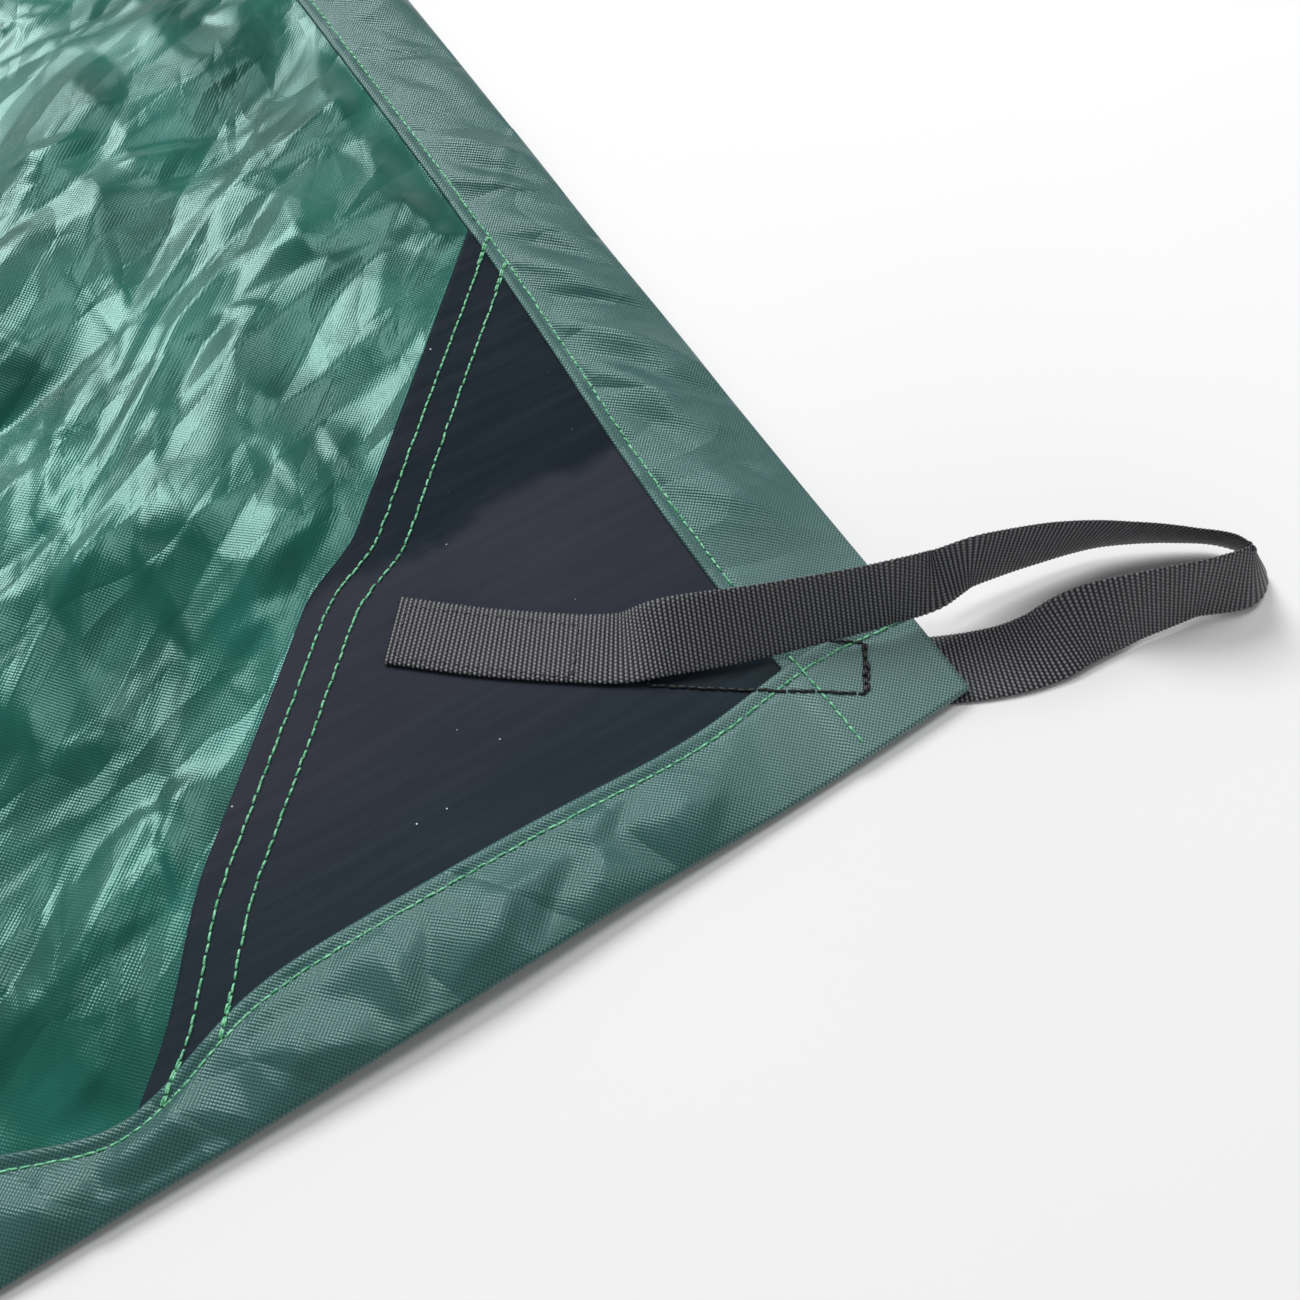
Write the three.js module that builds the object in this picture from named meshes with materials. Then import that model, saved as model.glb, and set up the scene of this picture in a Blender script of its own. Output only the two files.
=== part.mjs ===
// Rope storage sheet: a square hemmed cloth with four reinforced corners, each with a webbing handle.
// Millimetres, +Z up. The sheet lies open on the ground, centred on the origin, its edges along X and Y.
// The first corner is the one at +X, -Y. The other three are copies of it, turned about the middle.
// Near a corner, "along" runs outwards on the sheet's diagonal from the corner's tip, and "across" runs
// at right angles to it, towards the +X edge of the first corner.

import * as THREE from 'three';

// ---- Driving dimensions ----

const SHEET_SIDE = 1200;          // finished side of the square
const CORNERS = 4;

const CLOTH_THICKNESS = 0.5;      // coated cloth of the panel
const PATCH_THICKNESS = 0.7;      // heavy coated cloth of the corner patch
const HEM_THICKNESS = 0.6;        // turned hem, two layers pressed flat
const LAYER_GAP = 0.3;            // clearance between layers that touch

const HEM_WIDTH = 40;
const HEM_SEAM_INSET = 4.5;       // stitch line to the hem's inner edge

const PATCH_LEG = 300;            // from the corner's tip along either edge
const PATCH_EDGE_INSET = 1;       // patch edge inside the turned edge of the sheet
const PATCH_SEAM_NEAR = 6.5;       // first stitch line to the patch's inner edge
const PATCH_SEAM_FAR = 16.5;       // second stitch line to the patch's inner edge

const FOLD_SETBACK = 25;          // fold line of a lifted corner to the patch's inner edge
const FOLD_CLEARANCE = 0.3;       // half of the gap along the fold line

const STRAP_WIDTH = 25;
const STRAP_THICKNESS = 1.5;

const THREAD_WIDTH = 0.8;
const THREAD_HEIGHT = 0.4;
const STITCH_INSET = 3;           // box stitch to the edge and the end of the webbing
const UPPER_BOX_LENGTH = 57;
const LOWER_BOX_LENGTH = 72;

// ---- Heights of the layers at a corner, from the ground up ----

const UNDER_STRAP_MID = STRAP_THICKNESS / 2;
const PANEL_BOTTOM = STRAP_THICKNESS + LAYER_GAP;
const PATCH_BOTTOM = PANEL_BOTTOM + CLOTH_THICKNESS + LAYER_GAP;
const PATCH_TOP = PATCH_BOTTOM + PATCH_THICKNESS;
const HEM_BOTTOM = PATCH_TOP + LAYER_GAP;
const HEM_TOP = HEM_BOTTOM + HEM_THICKNESS;
const UPPER_STRAP_MID = PATCH_TOP + LAYER_GAP + STRAP_THICKNESS / 2;

// ---- Worked-out places ----

const HALF_SIDE = SHEET_SIDE / 2;
const FOLD_REACH = PATCH_LEG + FOLD_SETBACK * Math.SQRT2;   // fold line on either edge, from the tip
const THREAD_BOTTOM = HEM_TOP + LAYER_GAP;

// ---- Route of the webbing ----
// Each station holds along, across, the height of the webbing's lower edge and its roll in degrees.
// Roll 0 lies flat with the top face up, 90 stands on edge and 180 lies flat with the top face down.
// The height of a sewn end follows from the layers, so it is named instead of given as a number.

const LOWEST_OVER_CORNER = THREAD_BOTTOM + THREAD_HEIGHT + LAYER_GAP + STRAP_THICKNESS / 2;
const STRAP_ROUTE = [
  [-188, -17.5, UPPER_STRAP_MID, 0],
  [-157, -15, UPPER_STRAP_MID, 0],
  [-127, -10.5, UPPER_STRAP_MID, 0],
  [-101, -4, LOWEST_OVER_CORNER, 22],
  [-77, 4, LOWEST_OVER_CORNER, 46],
  [-53, 14, LOWEST_OVER_CORNER + 1, 58],
  [-31, 24.5, LOWEST_OVER_CORNER + 2.5, 66],
  [-11, 38, LOWEST_OVER_CORNER + 2.4, 75],
  [12, 52.5, 6.5, 90],
  [33, 62, 5, 104],
  [55, 68, 3.6, 112],
  [76, 71.5, 2.6, 110],
  [88, 70, 2.2, 104],
  [84, 62.5, 2.2, 100],
  [63, 50.5, 1.9, 106],
  [43, 39.5, 1.4, 124],
  [24, 29, 1.5, 157],
  [9, 19.5, 1.2, 178],
  [-10, 10.5, UNDER_STRAP_MID, 180],
  [-36, 3, UNDER_STRAP_MID, 180],
  [-106, -9, UNDER_STRAP_MID, 180],
];

// Stations, counted from the upper sewn end, where one piece of the webbing ends and the next begins.
const UPPER_END = { from: 0, to: 7, steps: 28 };
const GRIP_LOOP = { from: 7.5, to: 16.6, steps: 44 };
const UNDER_END = { from: 17.5, to: 20, steps: 10 };

// ---- Materials ----

const greenCloth = new THREE.MeshStandardMaterial({ color: 0x35665d, roughness: 0.42, metalness: 0 });
const wovenFace = new THREE.MeshStandardMaterial({ color: 0x587172, roughness: 0.7, metalness: 0 });
const blackPatch = new THREE.MeshStandardMaterial({ color: 0x393c45, roughness: 0.5, metalness: 0 });
const webbing = new THREE.MeshStandardMaterial({ color: 0x2b2d33, roughness: 0.75, metalness: 0 });
const greenThread = new THREE.MeshStandardMaterial({ color: 0x8fc3a4, roughness: 0.7, metalness: 0 });
const blackThread = new THREE.MeshStandardMaterial({ color: 0x1a1b1f, roughness: 0.6, metalness: 0 });

// ---- Helpers ----

// A point at distances inFromSide from the +X edge and inFromFront from the -Y edge of the sheet.
function sheetPoint(inFromSide, inFromFront) {
  return new THREE.Vector2(HALF_SIDE - inFromSide, inFromFront - HALF_SIDE);
}

// The first corner's along and across distances as a point of the sheet.
function cornerPoint(along, across) {
  const x = (along + across) * Math.SQRT1_2;
  const y = (across - along) * Math.SQRT1_2;
  return new THREE.Vector2(HALF_SIDE + x, y - HALF_SIDE);
}

function namedMesh(name, geometry, material) {
  const mesh = new THREE.Mesh(geometry, material);
  mesh.name = name;
  return mesh;
}

// A flat layer with the given outline, from its bottom up.
function layer(name, outline, bottom, thickness, material) {
  const geometry = new THREE.ExtrudeGeometry(outline, { depth: thickness, bevelEnabled: false });
  const mesh = namedMesh(name, geometry, material);
  mesh.position.z = bottom;
  return mesh;
}

// A straight run of stitches as one flat bar between two points of the sheet.
function threadBar(name, start, end, bottom, material) {
  const run = end.clone().sub(start);
  const geometry = new THREE.BoxGeometry(run.length(), THREAD_WIDTH, THREAD_HEIGHT);
  const bar = namedMesh(name, geometry, material);
  bar.position.set((start.x + end.x) / 2, (start.y + end.y) / 2, bottom + THREAD_HEIGHT / 2);
  bar.rotation.z = run.angle();
  return bar;
}

// ---- Cloth ----

// The panel is the square less the four corners beyond the fold lines.
function panel() {
  const near = FOLD_REACH + FOLD_CLEARANCE * Math.SQRT2;
  const outline = [];
  for (let corner = 0; corner < CORNERS; corner += 1) {
    const turn = (corner * Math.PI) / 2;
    const origin = new THREE.Vector2();
    outline.push(sheetPoint(near, 0).rotateAround(origin, turn));
    outline.push(sheetPoint(0, near).rotateAround(origin, turn));
  }
  return layer('panel', new THREE.Shape(outline), PANEL_BOTTOM, CLOTH_THICKNESS, greenCloth);
}

function panelCorner(label) {
  const reach = FOLD_REACH - FOLD_CLEARANCE * Math.SQRT2;
  const outline = new THREE.Shape([sheetPoint(0, 0), sheetPoint(0, reach), sheetPoint(reach, 0)]);
  return layer(`panel_corner_${label}`, outline, PANEL_BOTTOM, CLOTH_THICKNESS, greenCloth);
}

// The middle stretch of the hem on the +X side, between the fold lines of its two corners.
function hemMiddle(label) {
  const near = FOLD_REACH + FOLD_CLEARANCE * Math.SQRT2;
  const far = SHEET_SIDE - near;
  const outline = new THREE.Shape([
    sheetPoint(0, near),
    sheetPoint(0, far),
    sheetPoint(HEM_WIDTH, far + HEM_WIDTH),
    sheetPoint(HEM_WIDTH, near - HEM_WIDTH),
  ]);
  return layer(`hem_middle_${label}`, outline, HEM_BOTTOM, HEM_THICKNESS, wovenFace);
}

function hemMiddleSeam(label) {
  const inset = HEM_WIDTH - HEM_SEAM_INSET;
  const start = sheetPoint(inset, FOLD_REACH - inset + THREAD_WIDTH);
  const end = sheetPoint(inset, SHEET_SIDE - FOLD_REACH + inset - THREAD_WIDTH);
  return threadBar(`hem_seam_${label}`, start, end, THREAD_BOTTOM, greenThread);
}

// The hem along the -Y edge runs through the corner, over the end of the one along the +X edge.
function hemThrough(label) {
  const reach = FOLD_REACH - FOLD_CLEARANCE * Math.SQRT2;
  const outline = new THREE.Shape([
    sheetPoint(0, 0),
    sheetPoint(0, HEM_WIDTH),
    sheetPoint(reach - HEM_WIDTH, HEM_WIDTH),
    sheetPoint(reach, 0),
  ]);
  return layer(`hem_through_${label}`, outline, HEM_BOTTOM, HEM_THICKNESS, wovenFace);
}

function hemButted(label) {
  const reach = FOLD_REACH - FOLD_CLEARANCE * Math.SQRT2;
  const start = HEM_WIDTH + LAYER_GAP;
  const outline = new THREE.Shape([
    sheetPoint(0, start),
    sheetPoint(0, reach),
    sheetPoint(HEM_WIDTH, reach - HEM_WIDTH),
    sheetPoint(HEM_WIDTH, start),
  ]);
  return layer(`hem_butted_${label}`, outline, HEM_BOTTOM, HEM_THICKNESS, wovenFace);
}

// ---- Corner patch ----

function patch(label) {
  const inset = PATCH_EDGE_INSET;
  const outline = new THREE.Shape([
    sheetPoint(inset, inset),
    sheetPoint(inset, PATCH_LEG - inset),
    sheetPoint(PATCH_LEG - inset, inset),
  ]);
  return layer(`patch_${label}`, outline, PATCH_BOTTOM, PATCH_THICKNESS, blackPatch);
}

// A stitch line parallel to the patch's inner edge, from one hem to the other.
function patchSeam(name, fromEdge) {
  const reach = PATCH_LEG - fromEdge * Math.SQRT2;
  const tuck = HEM_WIDTH + LAYER_GAP + THREAD_WIDTH;
  const start = sheetPoint(tuck, reach - tuck);
  const end = sheetPoint(reach - tuck, tuck);
  return threadBar(name, start, end, PATCH_TOP + LAYER_GAP, greenThread);
}

// ---- Webbing ----

const routePlan = new THREE.CatmullRomCurve3(STRAP_ROUTE.map(([along, across]) => {
  const place = cornerPoint(along, across);
  return new THREE.Vector3(place.x, place.y, 0);
}));
const LAST_STATION = STRAP_ROUTE.length - 1;
const TANGENT_STEP = 0.05;        // share of a station on either side, for the route's direction

// Height of the lower edge and roll in radians, both even between two stations.
function routeTilt(station) {
  const before = Math.min(Math.floor(station), LAST_STATION - 1);
  const share = station - before;
  const [, , lowBefore, rollBefore] = STRAP_ROUTE[before];
  const [, , lowAfter, rollAfter] = STRAP_ROUTE[before + 1];
  const roll = THREE.MathUtils.lerp(rollBefore, rollAfter, share);
  return { lowEdge: THREE.MathUtils.lerp(lowBefore, lowAfter, share), roll: THREE.MathUtils.degToRad(roll) };
}

function routeMiddle(station) {
  const { lowEdge, roll } = routeTilt(station);
  const middle = routePlan.getPoint(station / LAST_STATION);
  return middle.setZ(lowEdge + (STRAP_WIDTH / 2) * Math.sin(roll));
}

// Middle of the webbing at a station, with the directions of its width and its top face.
function routeFrame(station) {
  const before = routeMiddle(Math.max(station - TANGENT_STEP, 0));
  const after = routeMiddle(Math.min(station + TANGENT_STEP, LAST_STATION));
  const tangent = after.sub(before).normalize();
  const { roll } = routeTilt(station);
  const level = new THREE.Vector3(-tangent.y, tangent.x, 0).normalize();
  const width = level.multiplyScalar(Math.cos(roll)).add(new THREE.Vector3(0, 0, Math.sin(roll)));
  width.addScaledVector(tangent, -width.dot(tangent)).normalize();
  const face = new THREE.Vector3().crossVectors(tangent, width);
  return { middle: routeMiddle(station), width, face };
}

// A flat bar of webbing, bent along the route from one station to another.
function webbingRun(name, { from, to, steps }) {
  const geometry = new THREE.BoxGeometry(1, STRAP_WIDTH, STRAP_THICKNESS, steps, 1, 1);
  const corners = geometry.attributes.position;
  for (let i = 0; i < corners.count; i += 1) {
    const share = corners.getX(i) + 0.5;
    const { middle, width, face } = routeFrame(THREE.MathUtils.lerp(from, to, share));
    middle.addScaledVector(width, corners.getY(i));
    middle.addScaledVector(face, corners.getZ(i));
    corners.setXYZ(i, middle.x, middle.y, middle.z);
  }
  return namedMesh(name, geometry, webbing);
}

// ---- Box stitches ----

// A sewn rectangle with both of its diagonals, as one flat frame of thread with four openings.
function boxStitch(name, length, width) {
  const outer = { x: length / 2, y: width / 2 };
  const inner = { x: outer.x - THREAD_WIDTH, y: outer.y - THREAD_WIDTH };
  const shape = new THREE.Shape();
  shape.moveTo(-outer.x, -outer.y);
  shape.lineTo(outer.x, -outer.y);
  shape.lineTo(outer.x, outer.y);
  shape.lineTo(-outer.x, outer.y);
  const slope = Math.hypot(inner.x, inner.y);
  const backX = (THREAD_WIDTH / 2) * (slope / inner.y);
  const backY = (THREAD_WIDTH / 2) * (slope / inner.x);
  for (const side of [-1, 1]) {
    const end = [[side * inner.x, inner.y - backY], [side * inner.x, backY - inner.y], [side * backX, 0]];
    const long = [[inner.x - backX, side * inner.y], [backX - inner.x, side * inner.y], [0, side * backY]];
    for (const opening of [end, long]) {
      shape.holes.push(new THREE.Path(opening.map(([x, y]) => new THREE.Vector2(x, y))));
    }
  }
  const geometry = new THREE.ExtrudeGeometry(shape, { depth: THREAD_HEIGHT, bevelEnabled: false });
  return namedMesh(name, geometry, blackThread);
}

// The box stitch lies along the webbing between two of its stations, near the outer one's end.
function placedBoxStitch(name, endStation, nextStation, length, bottom) {
  const end = STRAP_ROUTE[endStation];
  const next = STRAP_ROUTE[nextStation];
  const start = cornerPoint(end[0], end[1]);
  const run = cornerPoint(next[0], next[1]).sub(start).normalize();
  const middle = start.addScaledVector(run, STITCH_INSET + length / 2);
  const stitch = boxStitch(name, length, STRAP_WIDTH - 2 * STITCH_INSET);
  stitch.position.set(middle.x, middle.y, bottom);
  stitch.rotation.z = run.angle();
  return stitch;
}

function upperBoxStitch(label) {
  const bottom = UPPER_STRAP_MID + STRAP_THICKNESS / 2 + LAYER_GAP;
  return placedBoxStitch(`box_stitch_upper_${label}`, 0, 1, UPPER_BOX_LENGTH, bottom);
}

function lowerBoxStitch(label) {
  const bottom = THREAD_BOTTOM;
  return placedBoxStitch(`box_stitch_lower_${label}`, LAST_STATION, LAST_STATION - 1, LOWER_BOX_LENGTH, bottom);
}

// ---- Assembly ----

function corner(label) {
  const group = new THREE.Group();
  group.add(panelCorner(label), patch(label), hemThrough(label), hemButted(label));
  group.add(patchSeam(`patch_seam_near_${label}`, PATCH_SEAM_NEAR));
  group.add(patchSeam(`patch_seam_far_${label}`, PATCH_SEAM_FAR));
  group.add(webbingRun(`strap_upper_${label}`, UPPER_END));
  group.add(webbingRun(`grip_loop_${label}`, GRIP_LOOP));
  group.add(webbingRun(`strap_under_${label}`, UNDER_END));
  group.add(upperBoxStitch(label), lowerBoxStitch(label));
  return group;
}

const sheet = new THREE.Group();
sheet.add(panel());
for (let index = 0; index < CORNERS; index += 1) {
  const label = index + 1;
  const turned = new THREE.Group();
  turned.add(corner(label), hemMiddle(label), hemMiddleSeam(label));
  turned.rotation.z = (index * Math.PI) / 2;
  sheet.add(turned);
}

export default sheet;
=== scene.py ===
"""Looks of a rope storage sheet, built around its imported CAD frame.

The sheet is one square of coated polyester laid open on the ground. Its edges are turned in and sewn down as
a broad hem. Each corner has a black reinforcing patch under the hems and a handle of black webbing, which
is sewn to the top of the patch, loops out past the corner and is sewn again beneath it.

Everything is in metres, in the frame of the CAD model: the sheet lies open on the ground, centred on the
origin, +Z up. Near a corner, "side" is the distance inwards from the edge that the first corner has on
+X, and "front" the distance inwards from the edge that it has on -Y. "Along" runs outwards on the sheet's
diagonal from the corner's tip, and "across" runs at right angles to it, towards the first corner's +X
edge. The other corners are the first one turned about the middle of the sheet.
"""

from __future__ import annotations

import logging
import math
from dataclasses import dataclass
from enum import Enum

import bpy
import numpy as np
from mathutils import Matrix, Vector

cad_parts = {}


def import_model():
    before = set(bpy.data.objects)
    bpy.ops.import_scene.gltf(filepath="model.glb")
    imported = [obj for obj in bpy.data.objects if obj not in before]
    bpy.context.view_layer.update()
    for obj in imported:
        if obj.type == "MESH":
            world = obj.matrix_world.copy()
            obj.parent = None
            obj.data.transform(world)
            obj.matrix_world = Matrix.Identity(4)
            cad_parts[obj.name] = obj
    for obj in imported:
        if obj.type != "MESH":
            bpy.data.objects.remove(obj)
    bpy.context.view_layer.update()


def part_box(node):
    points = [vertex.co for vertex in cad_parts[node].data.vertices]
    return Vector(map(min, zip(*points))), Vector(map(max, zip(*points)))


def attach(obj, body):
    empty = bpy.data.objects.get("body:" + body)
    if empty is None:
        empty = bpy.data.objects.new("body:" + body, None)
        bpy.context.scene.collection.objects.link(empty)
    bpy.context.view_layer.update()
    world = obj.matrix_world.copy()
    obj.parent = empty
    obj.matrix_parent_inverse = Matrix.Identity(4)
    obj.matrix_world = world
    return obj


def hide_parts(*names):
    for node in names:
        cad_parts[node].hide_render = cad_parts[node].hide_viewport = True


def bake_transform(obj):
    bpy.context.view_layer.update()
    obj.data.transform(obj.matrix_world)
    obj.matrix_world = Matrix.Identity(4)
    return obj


Array = np.ndarray
Value = float | bpy.types.NodeSocket
TAU = 2 * math.pi
ROOT_HALF = math.sqrt(0.5)
FOLD_TURN = math.radians(31)          # direction of the loose panel's folds
PATCH_CREASE = 0.145                  # distance of the crease across a patch from the front edge
LOG = logging.getLogger("rope_sheet")


# ---- Small helpers ---------------------------------------------------------------------------------


def linear(colour: str, alpha: float = 1.0) -> tuple[float, float, float, float]:
    """Turns an sRGB hex colour into linear red, green and blue.

    Args:
        colour: Six hex digits after a hash.
        alpha: Opacity, which is passed on unchanged.

    Returns:
        Linear red, green, blue and the opacity.
    """
    parts = [int(colour[i : i + 2], 16) / 255 for i in (1, 3, 5)]
    red, green, blue = [c / 12.92 if c <= 0.04045 else ((c + 0.055) / 1.055) ** 2.4 for c in parts]
    return red, green, blue, alpha


def smoothstep(low: float, high: float, value: Array) -> Array:
    """Gives 0 below low, 1 above high and an even S between them, as t squared times (3 - 2t)."""
    share = np.clip((value - low) / (high - low), 0.0, 1.0)
    return share * share * (3 - 2 * share)


def bell(value: Array, centre: float, width: float) -> Array:
    """Gives a bell curve, exp(-((value - centre) / width) squared)."""
    return np.exp(-(((value - centre) / width) ** 2))


@dataclass(frozen=True)
class LatticeNoise:
    """Smooth noise from seeded random slopes on a square lattice, about -1 to 1."""

    seed: int
    size: int = 128

    def at(self, x: Array, y: Array) -> Array:
        """Works out the noise at points given in lattice cells.

        In each cell the four corners' slopes times the distances from those corners are mixed by the
        curve 6t^5 - 15t^4 + 10t^3.

        Args:
            x: First coordinates, in cells.
            y: Second coordinates, in cells.

        Returns:
            The noise at each point.
        """
        turns = np.random.default_rng(self.seed).uniform(0, TAU, (self.size, self.size))
        slope_x, slope_y = np.cos(turns), np.sin(turns)
        cell_x, cell_y = np.floor(x).astype(int), np.floor(y).astype(int)
        in_x, in_y = x - cell_x, y - cell_y

        def corner(step_x: int, step_y: int) -> Array:
            """Slope of one corner of the cell times the distance from it."""
            row, column = (cell_x + step_x) % self.size, (cell_y + step_y) % self.size
            return slope_x[row, column] * (in_x - step_x) + slope_y[row, column] * (in_y - step_y)

        mix_x = in_x**3 * (in_x * (in_x * 6 - 15) + 10)
        mix_y = in_y**3 * (in_y * (in_y * 6 - 15) + 10)
        low = corner(0, 0) * (1 - mix_x) + corner(1, 0) * mix_x
        high = corner(0, 1) * (1 - mix_x) + corner(1, 1) * mix_x
        return 1.5 * (low * (1 - mix_y) + high * mix_y)


@dataclass(frozen=True)
class RandomCells:
    """Random cells: the ground nearest to each of many points, one in every square of a lattice."""

    seed: int
    size: int = 128

    def border(self, x: Array, y: Array) -> Array:
        """Works out the distance to the nearest border between cells, which makes flat facets.

        The nearest point is found first. A border lies midway between it and another point, and the
        distance to it is measured along the line between the two.

        Args:
            x: First coordinates, in lattice squares.
            y: Second coordinates, in lattice squares.

        Returns:
            The distances, in lattice squares.
        """
        spots = np.random.default_rng(self.seed).uniform(0.05, 0.95, (self.size, self.size, 2))
        cell_x, cell_y = np.floor(x).astype(int), np.floor(y).astype(int)
        in_x, in_y = x - cell_x, y - cell_y

        def offset(step_x: int, step_y: int) -> tuple[Array, Array]:
            """Way from each place to the point in a neighbouring square."""
            spot = spots[(cell_x + step_x) % self.size, (cell_y + step_y) % self.size]
            return step_x + spot[..., 0] - in_x, step_y + spot[..., 1] - in_y

        near_x, near_y = offset(0, 0)
        for step_x, step_y in ((i, j) for i in (-1, 0, 1) for j in (-1, 0, 1)):
            to_x, to_y = offset(step_x, step_y)
            closer = to_x**2 + to_y**2 < near_x**2 + near_y**2
            near_x, near_y = np.where(closer, to_x, near_x), np.where(closer, to_y, near_y)
        distance = np.full(near_x.shape, 9.0)
        for step_x, step_y in ((i, j) for i in range(-2, 3) for j in range(-2, 3)):
            to_x, to_y = offset(step_x, step_y)
            gap_x, gap_y = to_x - near_x, to_y - near_y
            gap = np.hypot(gap_x, gap_y)
            reach = ((to_x + near_x) * gap_x + (to_y + near_y) * gap_y) / (2 * np.maximum(gap, 1e-6))
            distance = np.where(gap > 1e-4, np.minimum(distance, reach), distance)
        return distance


def crest(noise: Array, softness: float) -> Array:
    """Makes sharp crests with round valleys: 1 less the root of noise squared plus softness squared."""
    return 1 - np.sqrt(noise**2 + softness**2)


# ---- Meshes ----------------------------------------------------------------------------------------


def outward(points: Array, faces: list[Array]) -> list[Array]:
    """Turns all faces round if the closed surface's signed volume is negative.

    The volume is a sixth of the sum of a . (b x c) over the triangles of a fan on each face.

    Args:
        points: Vertex positions.
        faces: Arrays of faces, one row of vertex numbers per face.

    Returns:
        The faces, pointing out.
    """
    volume = 0.0
    for rows in faces:
        for k in range(1, rows.shape[1] - 1):
            a, b, c = points[rows[:, 0]], points[rows[:, k]], points[rows[:, k + 1]]
            volume += np.einsum("ij,ij->", a, np.cross(b, c))
    return faces if volume >= 0 else [rows[:, ::-1] for rows in faces]


def make_piece(
    name: str,
    points: Array,
    faces: list[Array],
    materials: list[bpy.types.Material],
    flat: Array | None = None,
    face_material: list[int] | None = None,
    normals: Array | None = None,
) -> bpy.types.Object:
    """Makes one closed, smooth piece from arrays.

    Args:
        name: The piece's name.
        points: Vertex positions, in metres.
        faces: Arrays of faces, one row of vertex numbers per face; each array has faces of one kind.
        materials: The piece's materials.
        flat: The place of each vertex on the flat material, in metres, which becomes the UV map.
        face_material: For each array of faces, the number of its material.
        normals: Shading normal of each vertex, or None to work them out from the faces.

    Returns:
        The new object.
    """
    faces = outward(points, faces)
    mesh = bpy.data.meshes.new(name)
    corners = np.concatenate([rows.ravel() for rows in faces])
    counts = np.concatenate([np.full(len(rows), rows.shape[1]) for rows in faces])
    starts = np.concatenate([[0], np.cumsum(counts)[:-1]])
    mesh.vertices.add(len(points))
    mesh.vertices.foreach_set("co", points.astype(np.float32).ravel())
    mesh.loops.add(len(corners))
    mesh.loops.foreach_set("vertex_index", corners.astype(np.int32))
    mesh.polygons.add(len(counts))
    mesh.polygons.foreach_set("loop_start", starts.astype(np.int32))
    for material in materials:
        mesh.materials.append(material)
    if face_material is not None:
        slots = np.concatenate([np.full(len(rows), slot) for rows, slot in zip(faces, face_material)])
        mesh.polygons.foreach_set("material_index", slots.astype(np.int32))
    mesh.polygons.foreach_set("use_smooth", np.ones(len(counts), bool))
    mesh.update(calc_edges=True)
    if flat is not None:
        layer = mesh.uv_layers.new(name="flat")
        layer.data.foreach_set("uv", flat[corners].astype(np.float32).ravel())
    if normals is not None:
        mesh.normals_split_custom_set_from_vertices(normals.astype(np.float32))
    piece = bpy.data.objects.new(name, mesh)
    bpy.context.scene.collection.objects.link(piece)
    return piece


def shell(top: Array, bottom: Array, top_faces: list[Array], rim: Array) -> tuple[Array, list[Array]]:
    """Closes a top and a bottom surface with the same grid into one thin solid.

    Args:
        top: Points of the top surface.
        bottom: Points of the bottom surface, in the same order.
        top_faces: Faces of the top surface.
        rim: Vertex numbers round the edge of the top surface, in order.

    Returns:
        All points, and the faces of the top, of the bottom and of the edge.
    """
    count = len(top)
    following = np.roll(rim, -1)
    edge = np.stack([rim, rim + count, following + count, following], axis=1)
    faces = [*top_faces, *[rows[:, ::-1] + count for rows in top_faces], edge]
    return np.concatenate([top, bottom]), faces


def corner_grid(steps: int) -> tuple[Array, Array, list[Array], Array]:
    """Makes a three-sided grid for a right-angled corner.

    Row i and column j run from 0 at the tip's two edges, and i + j is at most steps.

    Args:
        steps: Number of steps along either edge.

    Returns:
        Row and column of each vertex, the faces, and the vertex numbers round the edge.
    """
    rows, columns = np.meshgrid(np.arange(steps + 1), np.arange(steps + 1), indexing="ij")
    inside = rows + columns <= steps
    number = np.full(rows.shape, -1)
    number[inside] = np.arange(inside.sum())
    near = rows + columns < steps
    i, j = rows[near], columns[near]
    lower = np.stack([number[i, j], number[i, j + 1], number[i + 1, j]], axis=1)
    near = rows + columns < steps - 1
    i, j = rows[near], columns[near]
    upper = np.stack([number[i + 1, j], number[i, j + 1], number[i + 1, j + 1]], axis=1)
    run = np.arange(steps)
    rim = np.concatenate([number[0, run], number[run, steps - run], number[steps - run, 0]])
    return rows[inside], columns[inside], [np.concatenate([lower, upper])], rim


def square_grid(steps: int) -> tuple[Array, Array, list[Array], Array]:
    """Makes a four-sided grid.

    Args:
        steps: Number of steps along either side.

    Returns:
        Row and column of each vertex, the faces, and the vertex numbers round the edge.
    """
    rows, columns = np.meshgrid(np.arange(steps + 1), np.arange(steps + 1), indexing="ij")
    number = rows * (steps + 1) + columns
    faces = np.stack([number[:-1, :-1], number[1:, :-1], number[1:, 1:], number[:-1, 1:]], axis=-1)
    run = np.arange(steps)
    last = steps - run
    rim = np.concatenate([number[run, 0], number[steps, run], number[last, steps], number[0, last]])
    return rows.ravel(), columns.ravel(), [faces.reshape(-1, 4)], rim


def loft(rings: Array) -> tuple[Array, list[Array]]:
    """Joins closed rings of points, one after the other, into a tube with closed ends.

    Args:
        rings: Points in an array of rings by points by 3.

    Returns:
        All points and the faces: the sides, then the two ends.
    """
    count, around = rings.shape[:2]
    number = np.arange(count * around).reshape(count, around)
    beside = np.roll(number, -1, axis=1)
    sides = np.stack([number[:-1], number[1:], beside[1:], beside[:-1]], axis=-1).reshape(-1, 4)
    return rings.reshape(-1, 3), [sides, number[:1], number[-1:, ::-1]]


# ---- Finishes --------------------------------------------------------------------------------------


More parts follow.
